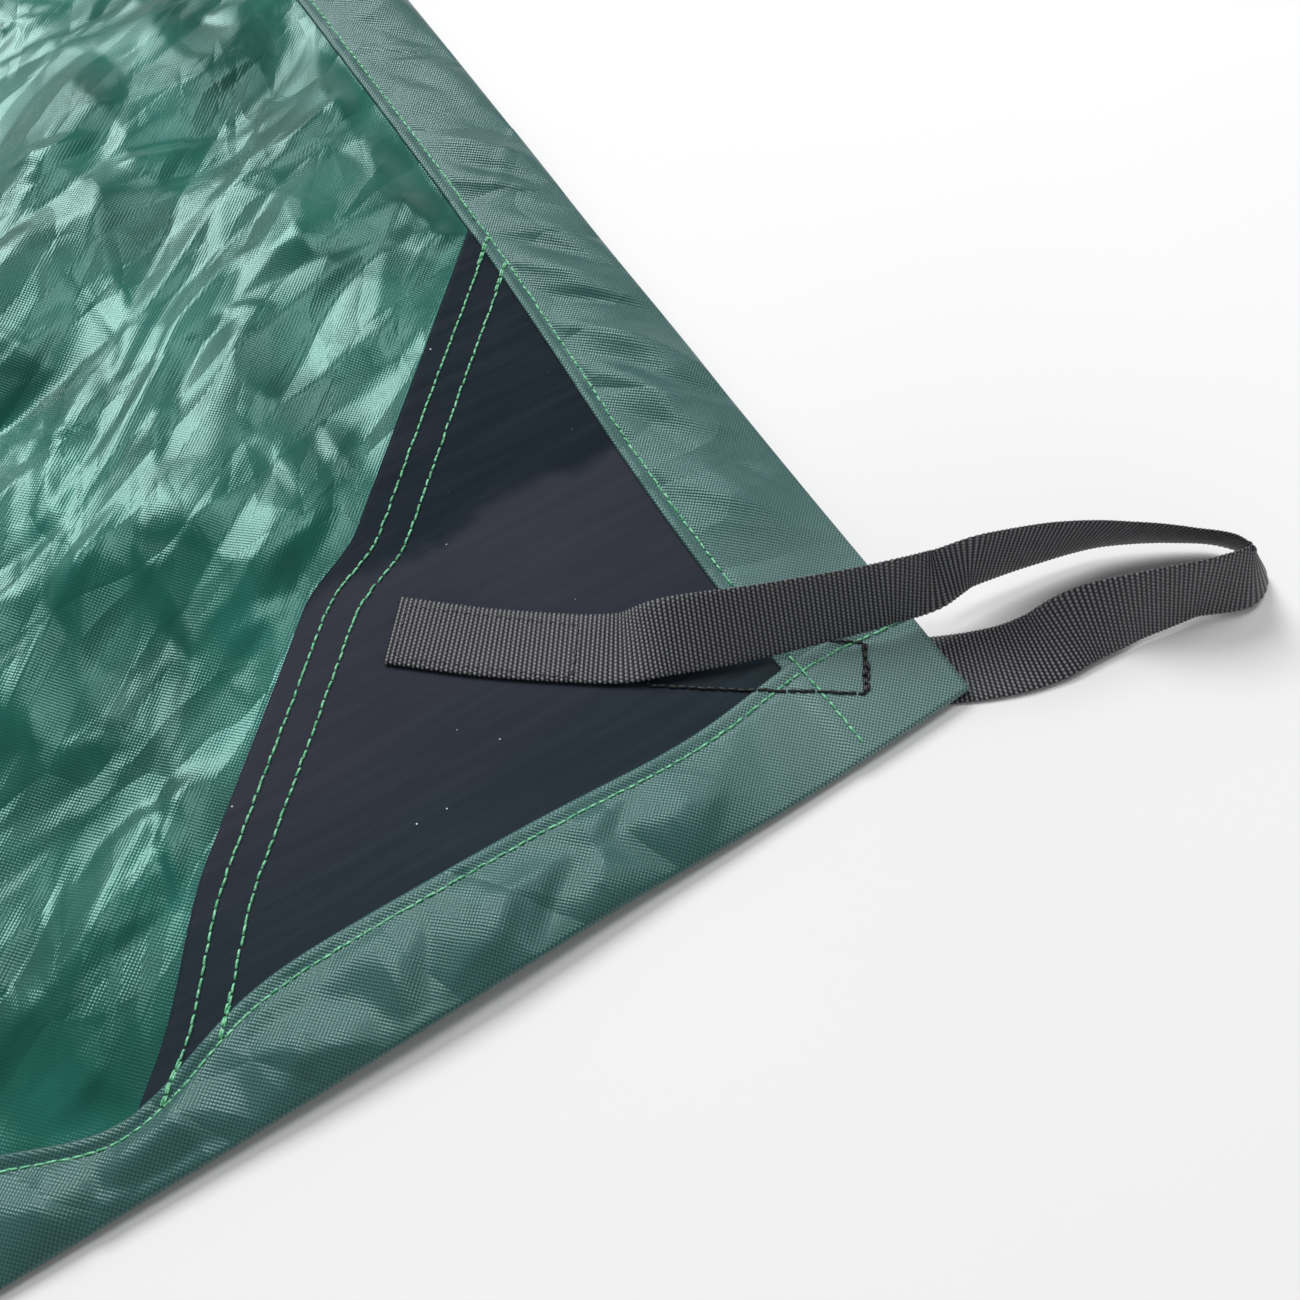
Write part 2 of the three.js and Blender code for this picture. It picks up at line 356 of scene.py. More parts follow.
def add_node(
    tree: bpy.types.NodeTree, kind: str, settings: dict | None = None, inputs: dict | None = None
) -> bpy.types.Node:
    """Adds one node to a material.

    Args:
        tree: The material's node tree.
        kind: The node's type, such as ShaderNodeBump.
        settings: Values of the node's own properties.
        inputs: For each socket, by name or number, its value or the socket that feeds it.

    Returns:
        The new node.
    """
    node = tree.nodes.new(kind)
    for name, value in (settings or {}).items():
        setattr(node, name, value)
    for name, value in (inputs or {}).items():
        socket = node.inputs[name]
        if isinstance(value, bpy.types.NodeSocket):
            tree.links.new(value, socket)
        else:
            socket.default_value = value
    return node


def new_surface(name: str) -> tuple[bpy.types.Material, bpy.types.NodeTree, bpy.types.Node]:
    """Starts a material with one Principled shader.

    Args:
        name: The material's name.

    Returns:
        The material, its node tree and its shader.
    """
    material = bpy.data.materials.new(name)
    material.use_nodes = True
    tree = material.node_tree
    tree.nodes.clear()
    shader = add_node(tree, "ShaderNodeBsdfPrincipled")
    add_node(tree, "ShaderNodeOutputMaterial", inputs={"Surface": shader.outputs[0]})
    return material, tree, shader


def combined(
    tree: bpy.types.NodeTree, operation: str, first: Value, second: Value = 0.0
) -> bpy.types.NodeSocket:
    """Works out one sum or function of two values, each a number or a socket."""
    return add_node(tree, "ShaderNodeMath", {"operation": operation}, {0: first, 1: second}).outputs[0]


def thread_waves(
    tree: bpy.types.NodeTree, place: bpy.types.NodeSocket, pitch: tuple[float, float]
) -> list[bpy.types.NodeSocket]:
    """Draws a sine along either thread direction of a cloth.

    Args:
        tree: The material's node tree.
        place: Place on the flat cloth, in metres.
        pitch: Half the length of either sine, in metres.

    Returns:
        Two sockets, each -1 to 1.
    """
    split = add_node(tree, "ShaderNodeSeparateXYZ", inputs={0: place})
    turns = [combined(tree, "MULTIPLY", split.outputs[k], math.pi / pitch[k]) for k in range(2)]
    return [combined(tree, "SINE", turn) for turn in turns]


def weave_height(
    tree: bpy.types.NodeTree, place: bpy.types.NodeSocket, pitch: tuple[float, float]
) -> bpy.types.NodeSocket:
    """Draws a plain weave: the product of a sine along one thread direction and a sine along the other.

    Args:
        tree: The material's node tree.
        place: Place on the flat cloth, in metres.
        pitch: Distance between threads in either direction, in metres.

    Returns:
        A socket with the height of the threads, -1 to 1.
    """
    return combined(tree, "MULTIPLY", *thread_waves(tree, place, pitch))


def facets(
    tree: bpy.types.NodeTree, place: bpy.types.NodeSocket, size: tuple[float, float], turn: float
) -> bpy.types.NodeSocket:
    """Draws the flat facets of crumpled cloth.

    The height is the distance to the nearest border between random cells, so it rises and falls in flat
    slopes between sharp ridges and valleys. Soft noise bends the borders a little.

    Args:
        tree: The material's node tree.
        place: Place on the flat cloth, in metres.
        size: Usual length and width of a facet, in metres.
        turn: Direction of its length, in radians.

    Returns:
        A socket with the height, where 1 is the width of a facet.
    """
    inputs = {"Vector": place, "Rotation": (0, 0, -turn)}
    turned = add_node(tree, "ShaderNodeMapping", inputs=inputs).outputs[0]
    inputs = {"Vector": turned, "Scale": (1 / size[0], 1 / size[1], 1)}
    scaled = add_node(tree, "ShaderNodeMapping", inputs=inputs).outputs[0]
    noise = add_node(tree, "ShaderNodeTexNoise", {"noise_dimensions": "2D"}, {"Vector": scaled, "Scale": 0.8})
    inputs = {0: noise.outputs[1], "Scale": 0.7}
    shift = add_node(tree, "ShaderNodeVectorMath", {"operation": "SCALE"}, inputs)
    bent = add_node(tree, "ShaderNodeVectorMath", {"operation": "ADD"}, {0: scaled, 1: shift.outputs[0]})
    settings = {"feature": "DISTANCE_TO_EDGE", "voronoi_dimensions": "2D"}
    inputs = {"Vector": bent.outputs[0], "Scale": 1.0, "Randomness": 1.0}
    return add_node(tree, "ShaderNodeTexVoronoi", settings, inputs).outputs[0]


def blotches(
    tree: bpy.types.NodeTree, place: bpy.types.NodeSocket, size: float, detail: float = 3.0
) -> bpy.types.NodeSocket:
    """Draws soft uneven patches of a given size in metres, as a value around one half."""
    inputs = {"Vector": place, "Scale": 1 / size, "Detail": detail}
    return add_node(tree, "ShaderNodeTexNoise", {"noise_dimensions": "3D"}, inputs).outputs[0]


def spread(
    tree: bpy.types.NodeTree, value: Value, low: float, high: float, give_low: float, give_high: float
) -> bpy.types.NodeSocket:
    """Maps low to high of a value onto give_low to give_high, held at the ends."""
    inputs = {0: value, 1: low, 2: high, 3: give_low, 4: give_high}
    return add_node(tree, "ShaderNodeMapRange", {"clamp": True}, inputs).outputs[0]


def mixed(
    tree: bpy.types.NodeTree, share: bpy.types.NodeSocket, first: object, second: object
) -> bpy.types.NodeSocket:
    """Mixes two colours, each a colour or a socket, by a share from 0 to 1."""
    return add_node(tree, "ShaderNodeMix", {"data_type": "RGBA"}, {0: share, 6: first, 7: second}).outputs[2]


def bumped(
    tree: bpy.types.NodeTree, heights: list[tuple[bpy.types.NodeSocket, float]]
) -> bpy.types.NodeSocket:
    """Stacks bump patterns.

    Args:
        tree: The material's node tree.
        heights: Pairs of a height socket and the distance in metres that a height of 1 stands for.

    Returns:
        The bumped normal.
    """
    normal = None
    for height, distance in heights:
        inputs = {"Height": height, "Distance": distance, "Strength": 1.0}
        if normal is not None:
            inputs["Normal"] = normal
        normal = add_node(tree, "ShaderNodeBump", inputs=inputs).outputs[0]
    return normal


@dataclass(frozen=True)
class CoatedPolyester:
    """Polyester oxford cloth, the polyurethane-coated side.

    A thin clear coat over dyed cloth gives a deep green with a broad satin shine, so that every crease
    turns from silver to dark. Between its folds the cloth is wrinkled here and there. The weave shows only
    faintly through the coat. The threads are 0.45 mm apart and are drawn 0.7 mm apart so that they show.
    """

    deep: str = "#16493f"
    light: str = "#216257"
    shine: str = "#b0eee4"            # tint of its reflections
    roughness: tuple[float, float] = (0.20, 0.28)
    thread_pitch: float = 0.0007
    thread_height: float = 0.00003
    fold_turn: float = FOLD_TURN
    facet: tuple[float, float] = (0.080, 0.028)  # length and width
    facet_height: float = 0.0024
    wrinkle: tuple[float, float] = (0.034, 0.013)  # length and width
    wrinkle_turn: float = 0.5         # how far wrinkles turn away from the folds, in radians
    wrinkle_height: float = 0.0010

    def build(self) -> bpy.types.Material:
        """Makes the material.

        Returns:
            The material.
        """
        material, tree, shader = new_surface("coated_polyester")
        place = add_node(tree, "ShaderNodeUVMap", {"uv_map": "flat"}).outputs[0]
        weave = weave_height(tree, place, (self.thread_pitch, self.thread_pitch))
        clouds = blotches(tree, place, 0.05)
        patchy = spread(tree, blotches(tree, place, 0.06, 1.0), 0.48, 0.64, 0.0, 1.0)
        crisp = facets(tree, place, self.facet, self.fold_turn)
        wrinkles = facets(tree, place, self.wrinkle, self.fold_turn + self.wrinkle_turn)
        wrinkles = combined(tree, "MULTIPLY", wrinkles, patchy)
        share = spread(tree, clouds, 0.35, 0.65, 0.0, 1.0)
        colour = mixed(tree, share, linear(self.deep), linear(self.light))
        tree.links.new(colour, shader.inputs["Base Color"])
        rough = spread(tree, blotches(tree, place, 0.02), 0.3, 0.7, *self.roughness)
        tree.links.new(rough, shader.inputs["Roughness"])
        heights = [(crisp, self.facet_height), (wrinkles, self.wrinkle_height), (weave, self.thread_height)]
        tree.links.new(bumped(tree, heights), shader.inputs["Normal"])
        shader.inputs["Specular IOR Level"].default_value = 0.54
        shader.inputs["Specular Tint"].default_value = linear(self.shine)
        shader.inputs["Coat Weight"].default_value = 0.06
        shader.inputs["Coat Roughness"].default_value = 0.28
        return material


@dataclass(frozen=True)
class WovenPolyester:
    """Polyester oxford cloth, the uncoated side.

    Bare threads catch the light one by one, so the cloth looks greyer than the coated side, with rows of
    pale dots. Near the corners its colour is painted paler, a painted sheen for the light that the corner
    square catches. The threads are 0.45 mm apart and are drawn 0.7 mm apart so that they show.
    """

    deep: str = "#244a45"
    light: str = "#4e7172"
    # painted sheen: the paler colour painted near the tip
    painted_sheen: str = "#93aeae"
    shine: str = "#cbeae8"            # tint of its reflections
    thread_pitch: float = 0.0007
    thread_height: float = 0.00006
    painted_sheen_fade: tuple[float, float] = (0.045, 0.100)  # the painted sheen fades between these distances from the tip
    flat_tip: tuple[float, float] = (0.060, 0.120)  # puckers begin between these distances from the tip
    facet: tuple[float, float] = (0.085, 0.034)  # length and width of a pucker's slopes
    facet_turn: float = math.radians(58)
    facet_height: float = 0.0040
    cloud_height: float = 0.0003

    def build(self) -> bpy.types.Material:
        """Makes the material.

        Returns:
            The material.
        """
        material, tree, shader = new_surface("woven_polyester")
        place = add_node(tree, "ShaderNodeUVMap", {"uv_map": "flat"}).outputs[0]
        weave = weave_height(tree, place, (self.thread_pitch, self.thread_pitch))
        clouds = blotches(tree, place, 0.03)
        dots = spread(tree, weave, -0.7, 1.0, 0.0, 0.8)
        uneven = spread(tree, clouds, 0.3, 0.7, 0.75, 1.0)
        from_tip = add_node(tree, "ShaderNodeSeparateXYZ", inputs={0: place}).outputs[0]
        # Painted sheen: near the tip the light colour is painted paler, for the light that the corner square
        # catches.
        without_painted_sheen = spread(tree, from_tip, *self.painted_sheen_fade, 0.0, 1.0)
        pale = mixed(tree, without_painted_sheen, linear(self.painted_sheen), linear(self.light))
        share = combined(tree, "MULTIPLY", dots, uneven)
        tree.links.new(mixed(tree, share, linear(self.deep), pale), shader.inputs["Base Color"])
        puckers = facets(tree, place, self.facet, self.facet_turn)
        puckers = combined(tree, "MULTIPLY", puckers, spread(tree, from_tip, *self.flat_tip, 0.1, 1.0))
        heights = [(clouds, self.cloud_height), (puckers, self.facet_height), (weave, self.thread_height)]
        tree.links.new(bumped(tree, heights), shader.inputs["Normal"])
        shader.inputs["Roughness"].default_value = 0.30
        shader.inputs["Specular Tint"].default_value = linear(self.shine)
        shader.inputs["Sheen Weight"].default_value = 0.08
        shader.inputs["Sheen Roughness"].default_value = 0.4
        return material


@dataclass(frozen=True)
class CoatedPatchCloth:
    """Heavy black polyester with a thick vinyl coat, calendered.

    The coat is nearly smooth, so it has a very soft shine and a fine grain. A painted sheen makes it greyer
    in a band along the webbing, a painted shade darkens it past the crease, and it has faint streaks across.
    Pale lint clings to it. Places on it are the distances from the corner's two edges.
    """

    far: str = "#121d26"              # painted shade past the crease, farthest from the front edge
    sheen_band: str = "#2c2f39"             # painted sheen in a band along the webbing
    near: str = "#1f2a31"             # along the front edge
    streak: str = "#59606c"
    noise_turn: float = math.radians(20)  # turns the noise, not the streaks, which run along the front edge
    streak_scale: tuple[float, float] = (18.0, 260.0)  # streaks per metre along them and across them
    lint: str = "#c9cfd2"
    lint_spacing: float = 0.0050
    grain: float = 0.0012
    grain_height: float = 0.00005
    crease: float = PATCH_CREASE
    sheen_band_start: tuple[float, float] = (0.050, 0.090)  # the painted sheen band begins between these distances

    def build(self) -> bpy.types.Material:
        """Makes the material.

        Returns:
            The material.
        """
        material, tree, shader = new_surface("coated_patch_cloth")
        place = add_node(tree, "ShaderNodeUVMap", {"uv_map": "flat"}).outputs[0]
        clouds = blotches(tree, place, 0.035)
        grain = blotches(tree, place, self.grain, 1.0)
        inputs = {"Vector": place, "Rotation": (0, 0, self.noise_turn), "Scale": (*self.streak_scale, 1.0)}
        streaked = add_node(tree, "ShaderNodeMapping", inputs=inputs).outputs[0]
        streaks = blotches(tree, streaked, 1.0, 3.0)
        front = add_node(tree, "ShaderNodeSeparateXYZ", inputs={0: place}).outputs[1]
        wavy = combined(tree, "ADD", front, spread(tree, clouds, 0.3, 0.7, -0.006, 0.006))
        # Painted shade past the crease and a painted sheen in the band along the webbing, as tones of the one
        # cloth.
        painted_shade_share = spread(tree, wavy, self.crease - 0.002, self.crease + 0.005, 0.0, 1.0)
        below = spread(tree, wavy, *self.sheen_band_start, 1.0, 0.0)
        cloth = mixed(tree, below, linear(self.sheen_band), linear(self.near))
        cloth = mixed(tree, painted_shade_share, cloth, linear(self.far))
        cloth = mixed(tree, spread(tree, streaks, 0.40, 0.75, 0.0, 0.07), cloth, linear(self.streak))
        inputs = {"Vector": place, "Scale": 1 / self.lint_spacing, "Randomness": 1.0}
        cells = add_node(tree, "ShaderNodeTexVoronoi", {"feature": "F1"}, inputs)
        picked = add_node(tree, "ShaderNodeSeparateColor", inputs={0: cells.outputs["Color"]}).outputs[0]
        size = spread(tree, picked, 0.72, 1.0, 0.0, 0.060)
        speck = combined(tree, "LESS_THAN", cells.outputs["Distance"], size)
        tree.links.new(mixed(tree, speck, cloth, linear(self.lint)), shader.inputs["Base Color"])
        tree.links.new(spread(tree, clouds, 0.3, 0.7, 0.50, 0.60), shader.inputs["Roughness"])
        tree.links.new(bumped(tree, [(grain, self.grain_height)]), shader.inputs["Normal"])
        shader.inputs["Specular IOR Level"].default_value = 0.05
        return material


@dataclass(frozen=True)
class PolypropyleneWebbing:
    """Plain-woven polypropylene webbing, 25 mm wide and dyed black.

    Its thick threads stand up as ribs across the webbing, 1.5 mm apart, and each rib is a row of small
    round knots, 1.3 mm apart and shifted by half from rib to rib. They shine on their tops and are nearly
    black between, so the webbing looks ribbed and grainy.
    """

    black: str = "#040506"
    grey: str = "#85868d"
    rib: float = 0.0015               # distance between ribs
    knot: float = 0.00065             # half the distance between knots on one rib
    knot_height: float = 0.00030
    fibre: float = 0.0009
    fibre_height: float = 0.00008

    def build(self) -> bpy.types.Material:
        """Makes the material.

        Returns:
            The material.
        """
        material, tree, shader = new_surface("polypropylene_webbing")
        place = add_node(tree, "ShaderNodeUVMap", {"uv_map": "flat"}).outputs[0]
        ribs, knots = thread_waves(tree, place, (self.rib, self.knot))
        shifted = combined(tree, "MULTIPLY", ribs, knots)
        rows = combined(tree, "MULTIPLY", combined(tree, "ABSOLUTE", ribs), 0.78)
        height = combined(tree, "MULTIPLY_ADD", shifted, 0.22)
        tree.links.new(rows, height.node.inputs[2])
        fibres = blotches(tree, place, self.fibre, 2.0)
        tops = spread(tree, height, 0.38, 0.95, 0.0, 1.0)
        share = combined(tree, "MULTIPLY", tops, spread(tree, fibres, 0.3, 0.6, 0.6, 1.0))
        tree.links.new(mixed(tree, share, linear(self.black), linear(self.grey)), shader.inputs["Base Color"])
        heights = [(height, self.knot_height), (fibres, self.fibre_height)]
        tree.links.new(bumped(tree, heights), shader.inputs["Normal"])
        shader.inputs["Roughness"].default_value = 0.45
        return material


@dataclass(frozen=True)
class BondedThread:
    """Bonded polyester sewing thread, 0.6 mm thick: twisted, waxed and slightly shiny."""

    name: str
    colour: str
    shade: str
    twist: float = 0.0012
    strand_height: float = 0.0002

    def build(self) -> bpy.types.Material:
        """Makes the material.

        Returns:
            The material.
        """
        material, tree, shader = new_surface(self.name)
        place = add_node(tree, "ShaderNodeTexCoord").outputs["Object"]
        strands = blotches(tree, place, self.twist, 1.0)
        share = spread(tree, strands, 0.35, 0.65, 0.0, 1.0)
        colour = mixed(tree, share, linear(self.shade), linear(self.colour))
        tree.links.new(colour, shader.inputs["Base Color"])
        tree.links.new(bumped(tree, [(strands, self.strand_height)]), shader.inputs["Normal"])
        shader.inputs["Roughness"].default_value = 0.45
        return material


@dataclass(frozen=True)
class PaleFloor:
    """Matt white painted board, rolled: nearly even, with no shine."""

    white: str = "#f4f4f4"
    grey: str = "#f0f0f0"

    def build(self) -> bpy.types.Material:
        """Makes the material.

        Returns:
            The material.
        """
        material, tree, shader = new_surface("pale_floor")
        place = add_node(tree, "ShaderNodeTexCoord").outputs["Object"]
        share = spread(tree, blotches(tree, place, 0.5), 0.3, 0.7, 0.0, 1.0)
        tree.links.new(mixed(tree, share, linear(self.white), linear(self.grey)), shader.inputs["Base Color"])
        shader.inputs["Roughness"].default_value = 0.9
        shader.inputs["Specular IOR Level"].default_value = 0.1
        return material


class Finishes:
    """All of the object's materials, made once."""

    def __init__(self) -> None:
        """Builds every material."""
        self.coated = CoatedPolyester().build()
        self.woven = WovenPolyester().build()
        self.patch = CoatedPatchCloth().build()
        self.webbing = PolypropyleneWebbing().build()
        self.green_thread = BondedThread("green_thread", "#8fdcb0", "#3f9a6c").build()
        self.black_thread = BondedThread("black_thread", "#14181b", "#07090b").build()


# ---- Places and heights ----------------------------------------------------------------------------


@dataclass(frozen=True)
class Corner:
    """One corner of the sheet: turns distances from its two edges into places on the sheet."""

    number: int
    half_side: float

    @property
    def body(self) -> str:
        """Name of the CAD body that the corner moves with."""
        return f"corner_{self.number}"

    def turned(self, points: Array) -> Array:
        """Turns points of the first corner about the middle of the sheet, to this corner.

        Args:
            points: Places whose last axis begins with x and y.

        Returns:
            The turned places.
        """
        angle = (self.number - 1) * math.pi / 2
        cos, sin = round(math.cos(angle)), round(math.sin(angle))
        turned = points.copy()
        turned[..., 0] = points[..., 0] * cos - points[..., 1] * sin
        turned[..., 1] = points[..., 0] * sin + points[..., 1] * cos
        return turned

    def plan(self, side: Array, front: Array) -> Array:
        """Places on the sheet of points at distances side and front from the corner's edges."""
        return self.turned(np.stack([self.half_side - side, front - self.half_side], axis=-1))

    def point(self, along: float, across: float, height: float = 0.0) -> Vector:
        """One point given by along and across.

        Args:
            along: Distance outwards on the diagonal from the tip.
            across: Distance at right angles to it.
            height: Height over the ground.

        Returns:
            The point.
        """
        side, front = from_diagonal(along, across)
        x, y = self.plan(np.array(side), np.array(front))
        return Vector((x, y, height))


def from_diagonal(along: Array, across: Array) -> tuple[Array, Array]:
    """Turns along and across into the distances side and front."""
    return -(along + across) * ROOT_HALF, (across - along) * ROOT_HALF


def to_diagonal(side: Array, front: Array) -> tuple[Array, Array]:
    """Turns the distances side and front into along and across."""
    return -(side + front) * ROOT_HALF, (front - side) * ROOT_HALF


class HemRun(Enum):
    """The two hems that meet at a corner, and the two ways they end there."""

    THROUGH = "hem_through"
    BUTTED = "hem_butted"


@dataclass
class Relief:
    """Height map of the loose panel's folds and creases over the whole sheet, worked out once."""

    half_side: float
    step: float = 0.001               # distance between two heights of the map
    fold_turn: float = FOLD_TURN
    folds: float = 0.0165             # height of the long folds
    fold_size: tuple[float, float] = (0.30, 0.105)  # length and width of a fold
    facets: float = 0.0036            # height of the facets between them
    cell: tuple[float, float] = (0.105, 0.036)  # length and width of the sloping cells
    slope_height: float = 0.0064      # how high one would stand if it were twice its width
    creases: int = 1500
    crossing_share: float = 0.28      # share of the creases that cross the folds
    crossing_turn: float = 1.0        # by about this angle, in radians
    seed: int = 7

    def __post_init__(self) -> None:
        """Works out the map and rounds its sharpest edges by averaging neighbours."""
        count = round(2 * self.half_side / self.step) + 1
        self.axis = np.linspace(-self.half_side, self.half_side, count)
        x, y = np.meshgrid(self.axis, self.axis, indexing="ij")
        self.heights = self.long_folds(x, y)
        self.add_creases()
        padded = np.pad(self.heights, 1, mode="edge")
        crossways = padded[:-2, 1:-1] + padded[2:, 1:-1] + padded[1:-1, :-2] + padded[1:-1, 2:]
        self.heights = 0.4 * self.heights + 0.15 * crossways
        self.usual = float(self.heights.mean())

    def long_folds(self, x: Array, y: Array) -> Array:
        """Height of the long folds and of the facets between them.

        Long folds are crests of noise that is stretched along them. Facets are the difference of two
        noises' absolute values, which creases both up and down, and slopes of stretched random cells.

        Args:
            x: First coordinates on the sheet.
            y: Second coordinates on the sheet.

        Returns:
            The heights.
        """
        cos, sin = math.cos(self.fold_turn), math.sin(self.fold_turn)
        run, step = x * cos + y * sin, y * cos - x * sin
        step = step + 0.014 * LatticeNoise(11).at(x / 0.19, y / 0.19)
        folds = crest(LatticeNoise(13).at(run / self.fold_size[0], step / self.fold_size[1]), 0.06)
        first = np.abs(LatticeNoise(14).at(run / 0.110, step / 0.052))
        second = np.abs(LatticeNoise(15).at((run + 0.4 * step) / 0.080, (step - 0.4 * run) / 0.048))
        sway = 0.25 * LatticeNoise(17).at(run / 0.09, step / 0.05)
        slopes = RandomCells(16).border(run / self.cell[0] + sway, step / self.cell[1] + sway)
        return self.folds * (folds - 0.2) + self.facets * (first - second) + self.slope_height * slopes

    def add_creases(self) -> None:
        """Adds many short creases to the map.

        Each is a tent over a slightly bent line: its height falls evenly to nothing over a steep and a
        gentle side, and both the height and the widths shrink towards the line's ends as 1 less the
        square of the distance from its middle. Most follow the folds, some cross them, a third sink.
        """
        random = np.random.default_rng(self.seed)
        for _ in range(self.creases):
            middle = random.uniform(-self.half_side, self.half_side, 2)
            crossing = random.random() < self.crossing_share
            turn = self.fold_turn + random.normal(0, 0.30)
            turn += random.choice((-1, 1)) * self.crossing_turn if crossing else 0.0
            half_length = random.uniform(0.008, 0.024) if crossing else random.uniform(0.012, 0.052)
            steep, gentle = random.uniform(0.0022, 0.0060), random.uniform(0.006, 0.020)
            height = random.uniform(0.12, 0.34) * steep * random.choice((1.0, 1.0, -1.0))
            bend = random.normal(0, 0.10) / half_length
            reach = half_length + gentle
            rows, columns = (
                slice(*np.searchsorted(self.axis, (value - reach, value + reach))) for value in middle
            )
            x, y = np.meshgrid(self.axis[rows] - middle[0], self.axis[columns] - middle[1], indexing="ij")
            along = x * math.cos(turn) + y * math.sin(turn)
            off = y * math.cos(turn) - x * math.sin(turn) - bend * along**2
            taper = np.clip(1 - (along / half_length) ** 2, 0, 1)
            width = np.where(off > 0, steep, gentle) * (0.15 + 0.85 * taper)
            self.heights[rows, columns] += height * taper * np.clip(1 - np.abs(off) / width, 0, 1)

    def at(self, x: Array, y: Array) -> Array:
        """Height at any point, mixed evenly from the four nearest heights of the map.

        Args:
            x: First coordinates on the sheet.
            y: Second coordinates on the sheet.

        Returns:
            The heights.
        """
        last = len(self.axis) - 2
        place_x = np.clip((x + self.half_side) / self.step, 0, last + 0.999)
        place_y = np.clip((y + self.half_side) / self.step, 0, last + 0.999)
        i, j = place_x.astype(int), place_y.astype(int)
        u, v = place_x - i, place_y - j
        low = self.heights[i, j] * (1 - u) + self.heights[i + 1, j] * u
        high = self.heights[i, j + 1] * (1 - u) + self.heights[i + 1, j + 1] * u
        return low * (1 - v) + high * v


@dataclass(frozen=True)
class ClothShape:
    """Heights and outlines of the sheet's layers as it lies on the ground."""

    half_side: float
    corner_gap: float                 # underside of the panel over the ground at the corners
    relief: Relief
    cloth: float = 0.0004
    patch: float = 0.0006
    hem: float = 0.0006
    ply_gap: float = 0.0001
    patch_reach: float = 0.2121       # inner edge of the patch from the corner's tip
    least_gap: float = 0.0004         # the cloth over the ground where it lies lowest
    seam_inset: float = 0.0045        # stitches of a hem outside its inner fold

    def nearest(self, x: Array, y: Array) -> tuple[Array, Array]:
        """Distances side and front of any point on the sheet, from the edges of its nearest corner.

        Args:
            x: First coordinates on the sheet.
            y: Second coordinates on the sheet.

        Returns:
            The distances side and front.
        """
        side = self.half_side - np.where(x * y <= 0, np.abs(x), np.abs(y))
        front = self.half_side - np.where(x * y <= 0, np.abs(y), np.abs(x))
        return side, front

    def hem_width(self, run: HemRun, place: Array) -> Array:
        """Inner edge of a hem at a distance from the corner's tip.

        The through hem is 39 mm wide. It is wider at the corner and caught in where the patch ends. The
        butted hem is 39 mm wide and 8 mm wider near the corner. Each change is a bell curve.

        Args:
            run: Which of the corner's two hems.
            place: Distances from the tip.

        Returns:
            Distances of the inner edge from the sheet's edge.
        """
        if run is HemRun.THROUGH:
            caught = 0.0165 * bell(place, 0.280, 0.034)
            return 0.0390 + 0.0038 * bell(place, 0.035, 0.030) - 0.0020 * bell(place, 0.090, 0.035) - caught
        return 0.0390 + 0.0085 * bell(place, 0.085, 0.125)

    def hem_outer(self, run: HemRun, place: Array) -> Array:
        """Outer edge of a hem at a distance from the corner's tip: it runs in a little at the tip.

        Args:
            run: Which of the corner's two hems.
            place: Distances from the tip.

        Returns:
            Distances of the outer edge from the sheet's straight edge.
        """
        if run is HemRun.THROUGH:
            return 0.0050 * np.exp(-place / 0.07) + 0.0010 * bell(place, 0.13, 0.04)
        return 0.0006 * bell(place, 0.10, 0.05) + 0.0005 * bell(place, 0.23, 0.04)

    def patch_edge(self, across: Array) -> Array:
        """Along of the patch's inner edge, which bows outwards below the diagonal."""
        bow = smoothstep(0.018, -0.016, across) * smoothstep(-0.165, -0.105, across)
        return -self.patch_reach + 0.0015 - 0.0075 * bow

    def in_patch(self, side: Array, front: Array) -> Array:
        """1 over the patch and 0 past its inner edge, changing within 2 mm."""
        along, across = to_diagonal(side, front)
        return smoothstep(-0.001, 0.001, along - self.patch_edge(across))

    def strap_clear(self, side: Array, front: Array) -> Array:
        """0 where the webbing is sewn down and 1 well away from it.

        It grows with the distance from the line between the two sewn ends.

        Args:
            side: Distances from the corner's one edge.
            front: Distances from its other edge.

        Returns:
            The shares, 0 to 1.
        """
        along, across = to_diagonal(side, front)
        reach = np.clip(along, -0.190, -0.010)
        centre = -0.0175 + (reach + 0.190) * 0.16
        return smoothstep(0.014, 0.045, np.hypot(along - reach, across - centre))

    def underside(self, x: Array, y: Array) -> Array:
        """Height of the panel's underside.

        At the corners and edges the sheet lies calm, with broad low waves, a lifted stretch of the through
        hem's edge and a crease across the patch. The loose panel's folds grow from the hems' and the
        patch's inner edges. The ground stops it softly from below.

        Args:
            x: First coordinates on the sheet.
            y: Second coordinates on the sheet.

        Returns:
            The heights.
        """
        side, front = self.nearest(x, y)
        along, across = to_diagonal(side, front)
        clear = self.strap_clear(side, front)
        waves = 0.0011 * LatticeNoise(21).at(x / 0.16, y / 0.16)
        crease = -0.0014 * np.exp(-np.abs(front - PATCH_CREASE) / 0.036)
        crease = crease * smoothstep(0.24, 0.19, side + front * 0.25)
        lift = 0.0036 * bell(side, 0.185, 0.075) * smoothstep(0.075, 0.0, front)
        calm = self.corner_gap + clear * (waves + crease) + lift
        inside = np.minimum(
            front - self.hem_width(HemRun.THROUGH, side), side - self.hem_width(HemRun.BUTTED, front)
        )
        inside = np.minimum(inside, self.patch_edge(across) - along)
        rise = self.relief.at(x, y) - self.relief.usual * smoothstep(0.12, 0.0, inside)
        height = calm - self.least_gap + smoothstep(0.0, 0.017, inside) * rise
        softness = 0.0012
        return self.least_gap + 0.5 * (height + np.sqrt(height**2 + softness**2)) - 0.5 * softness * 0.2

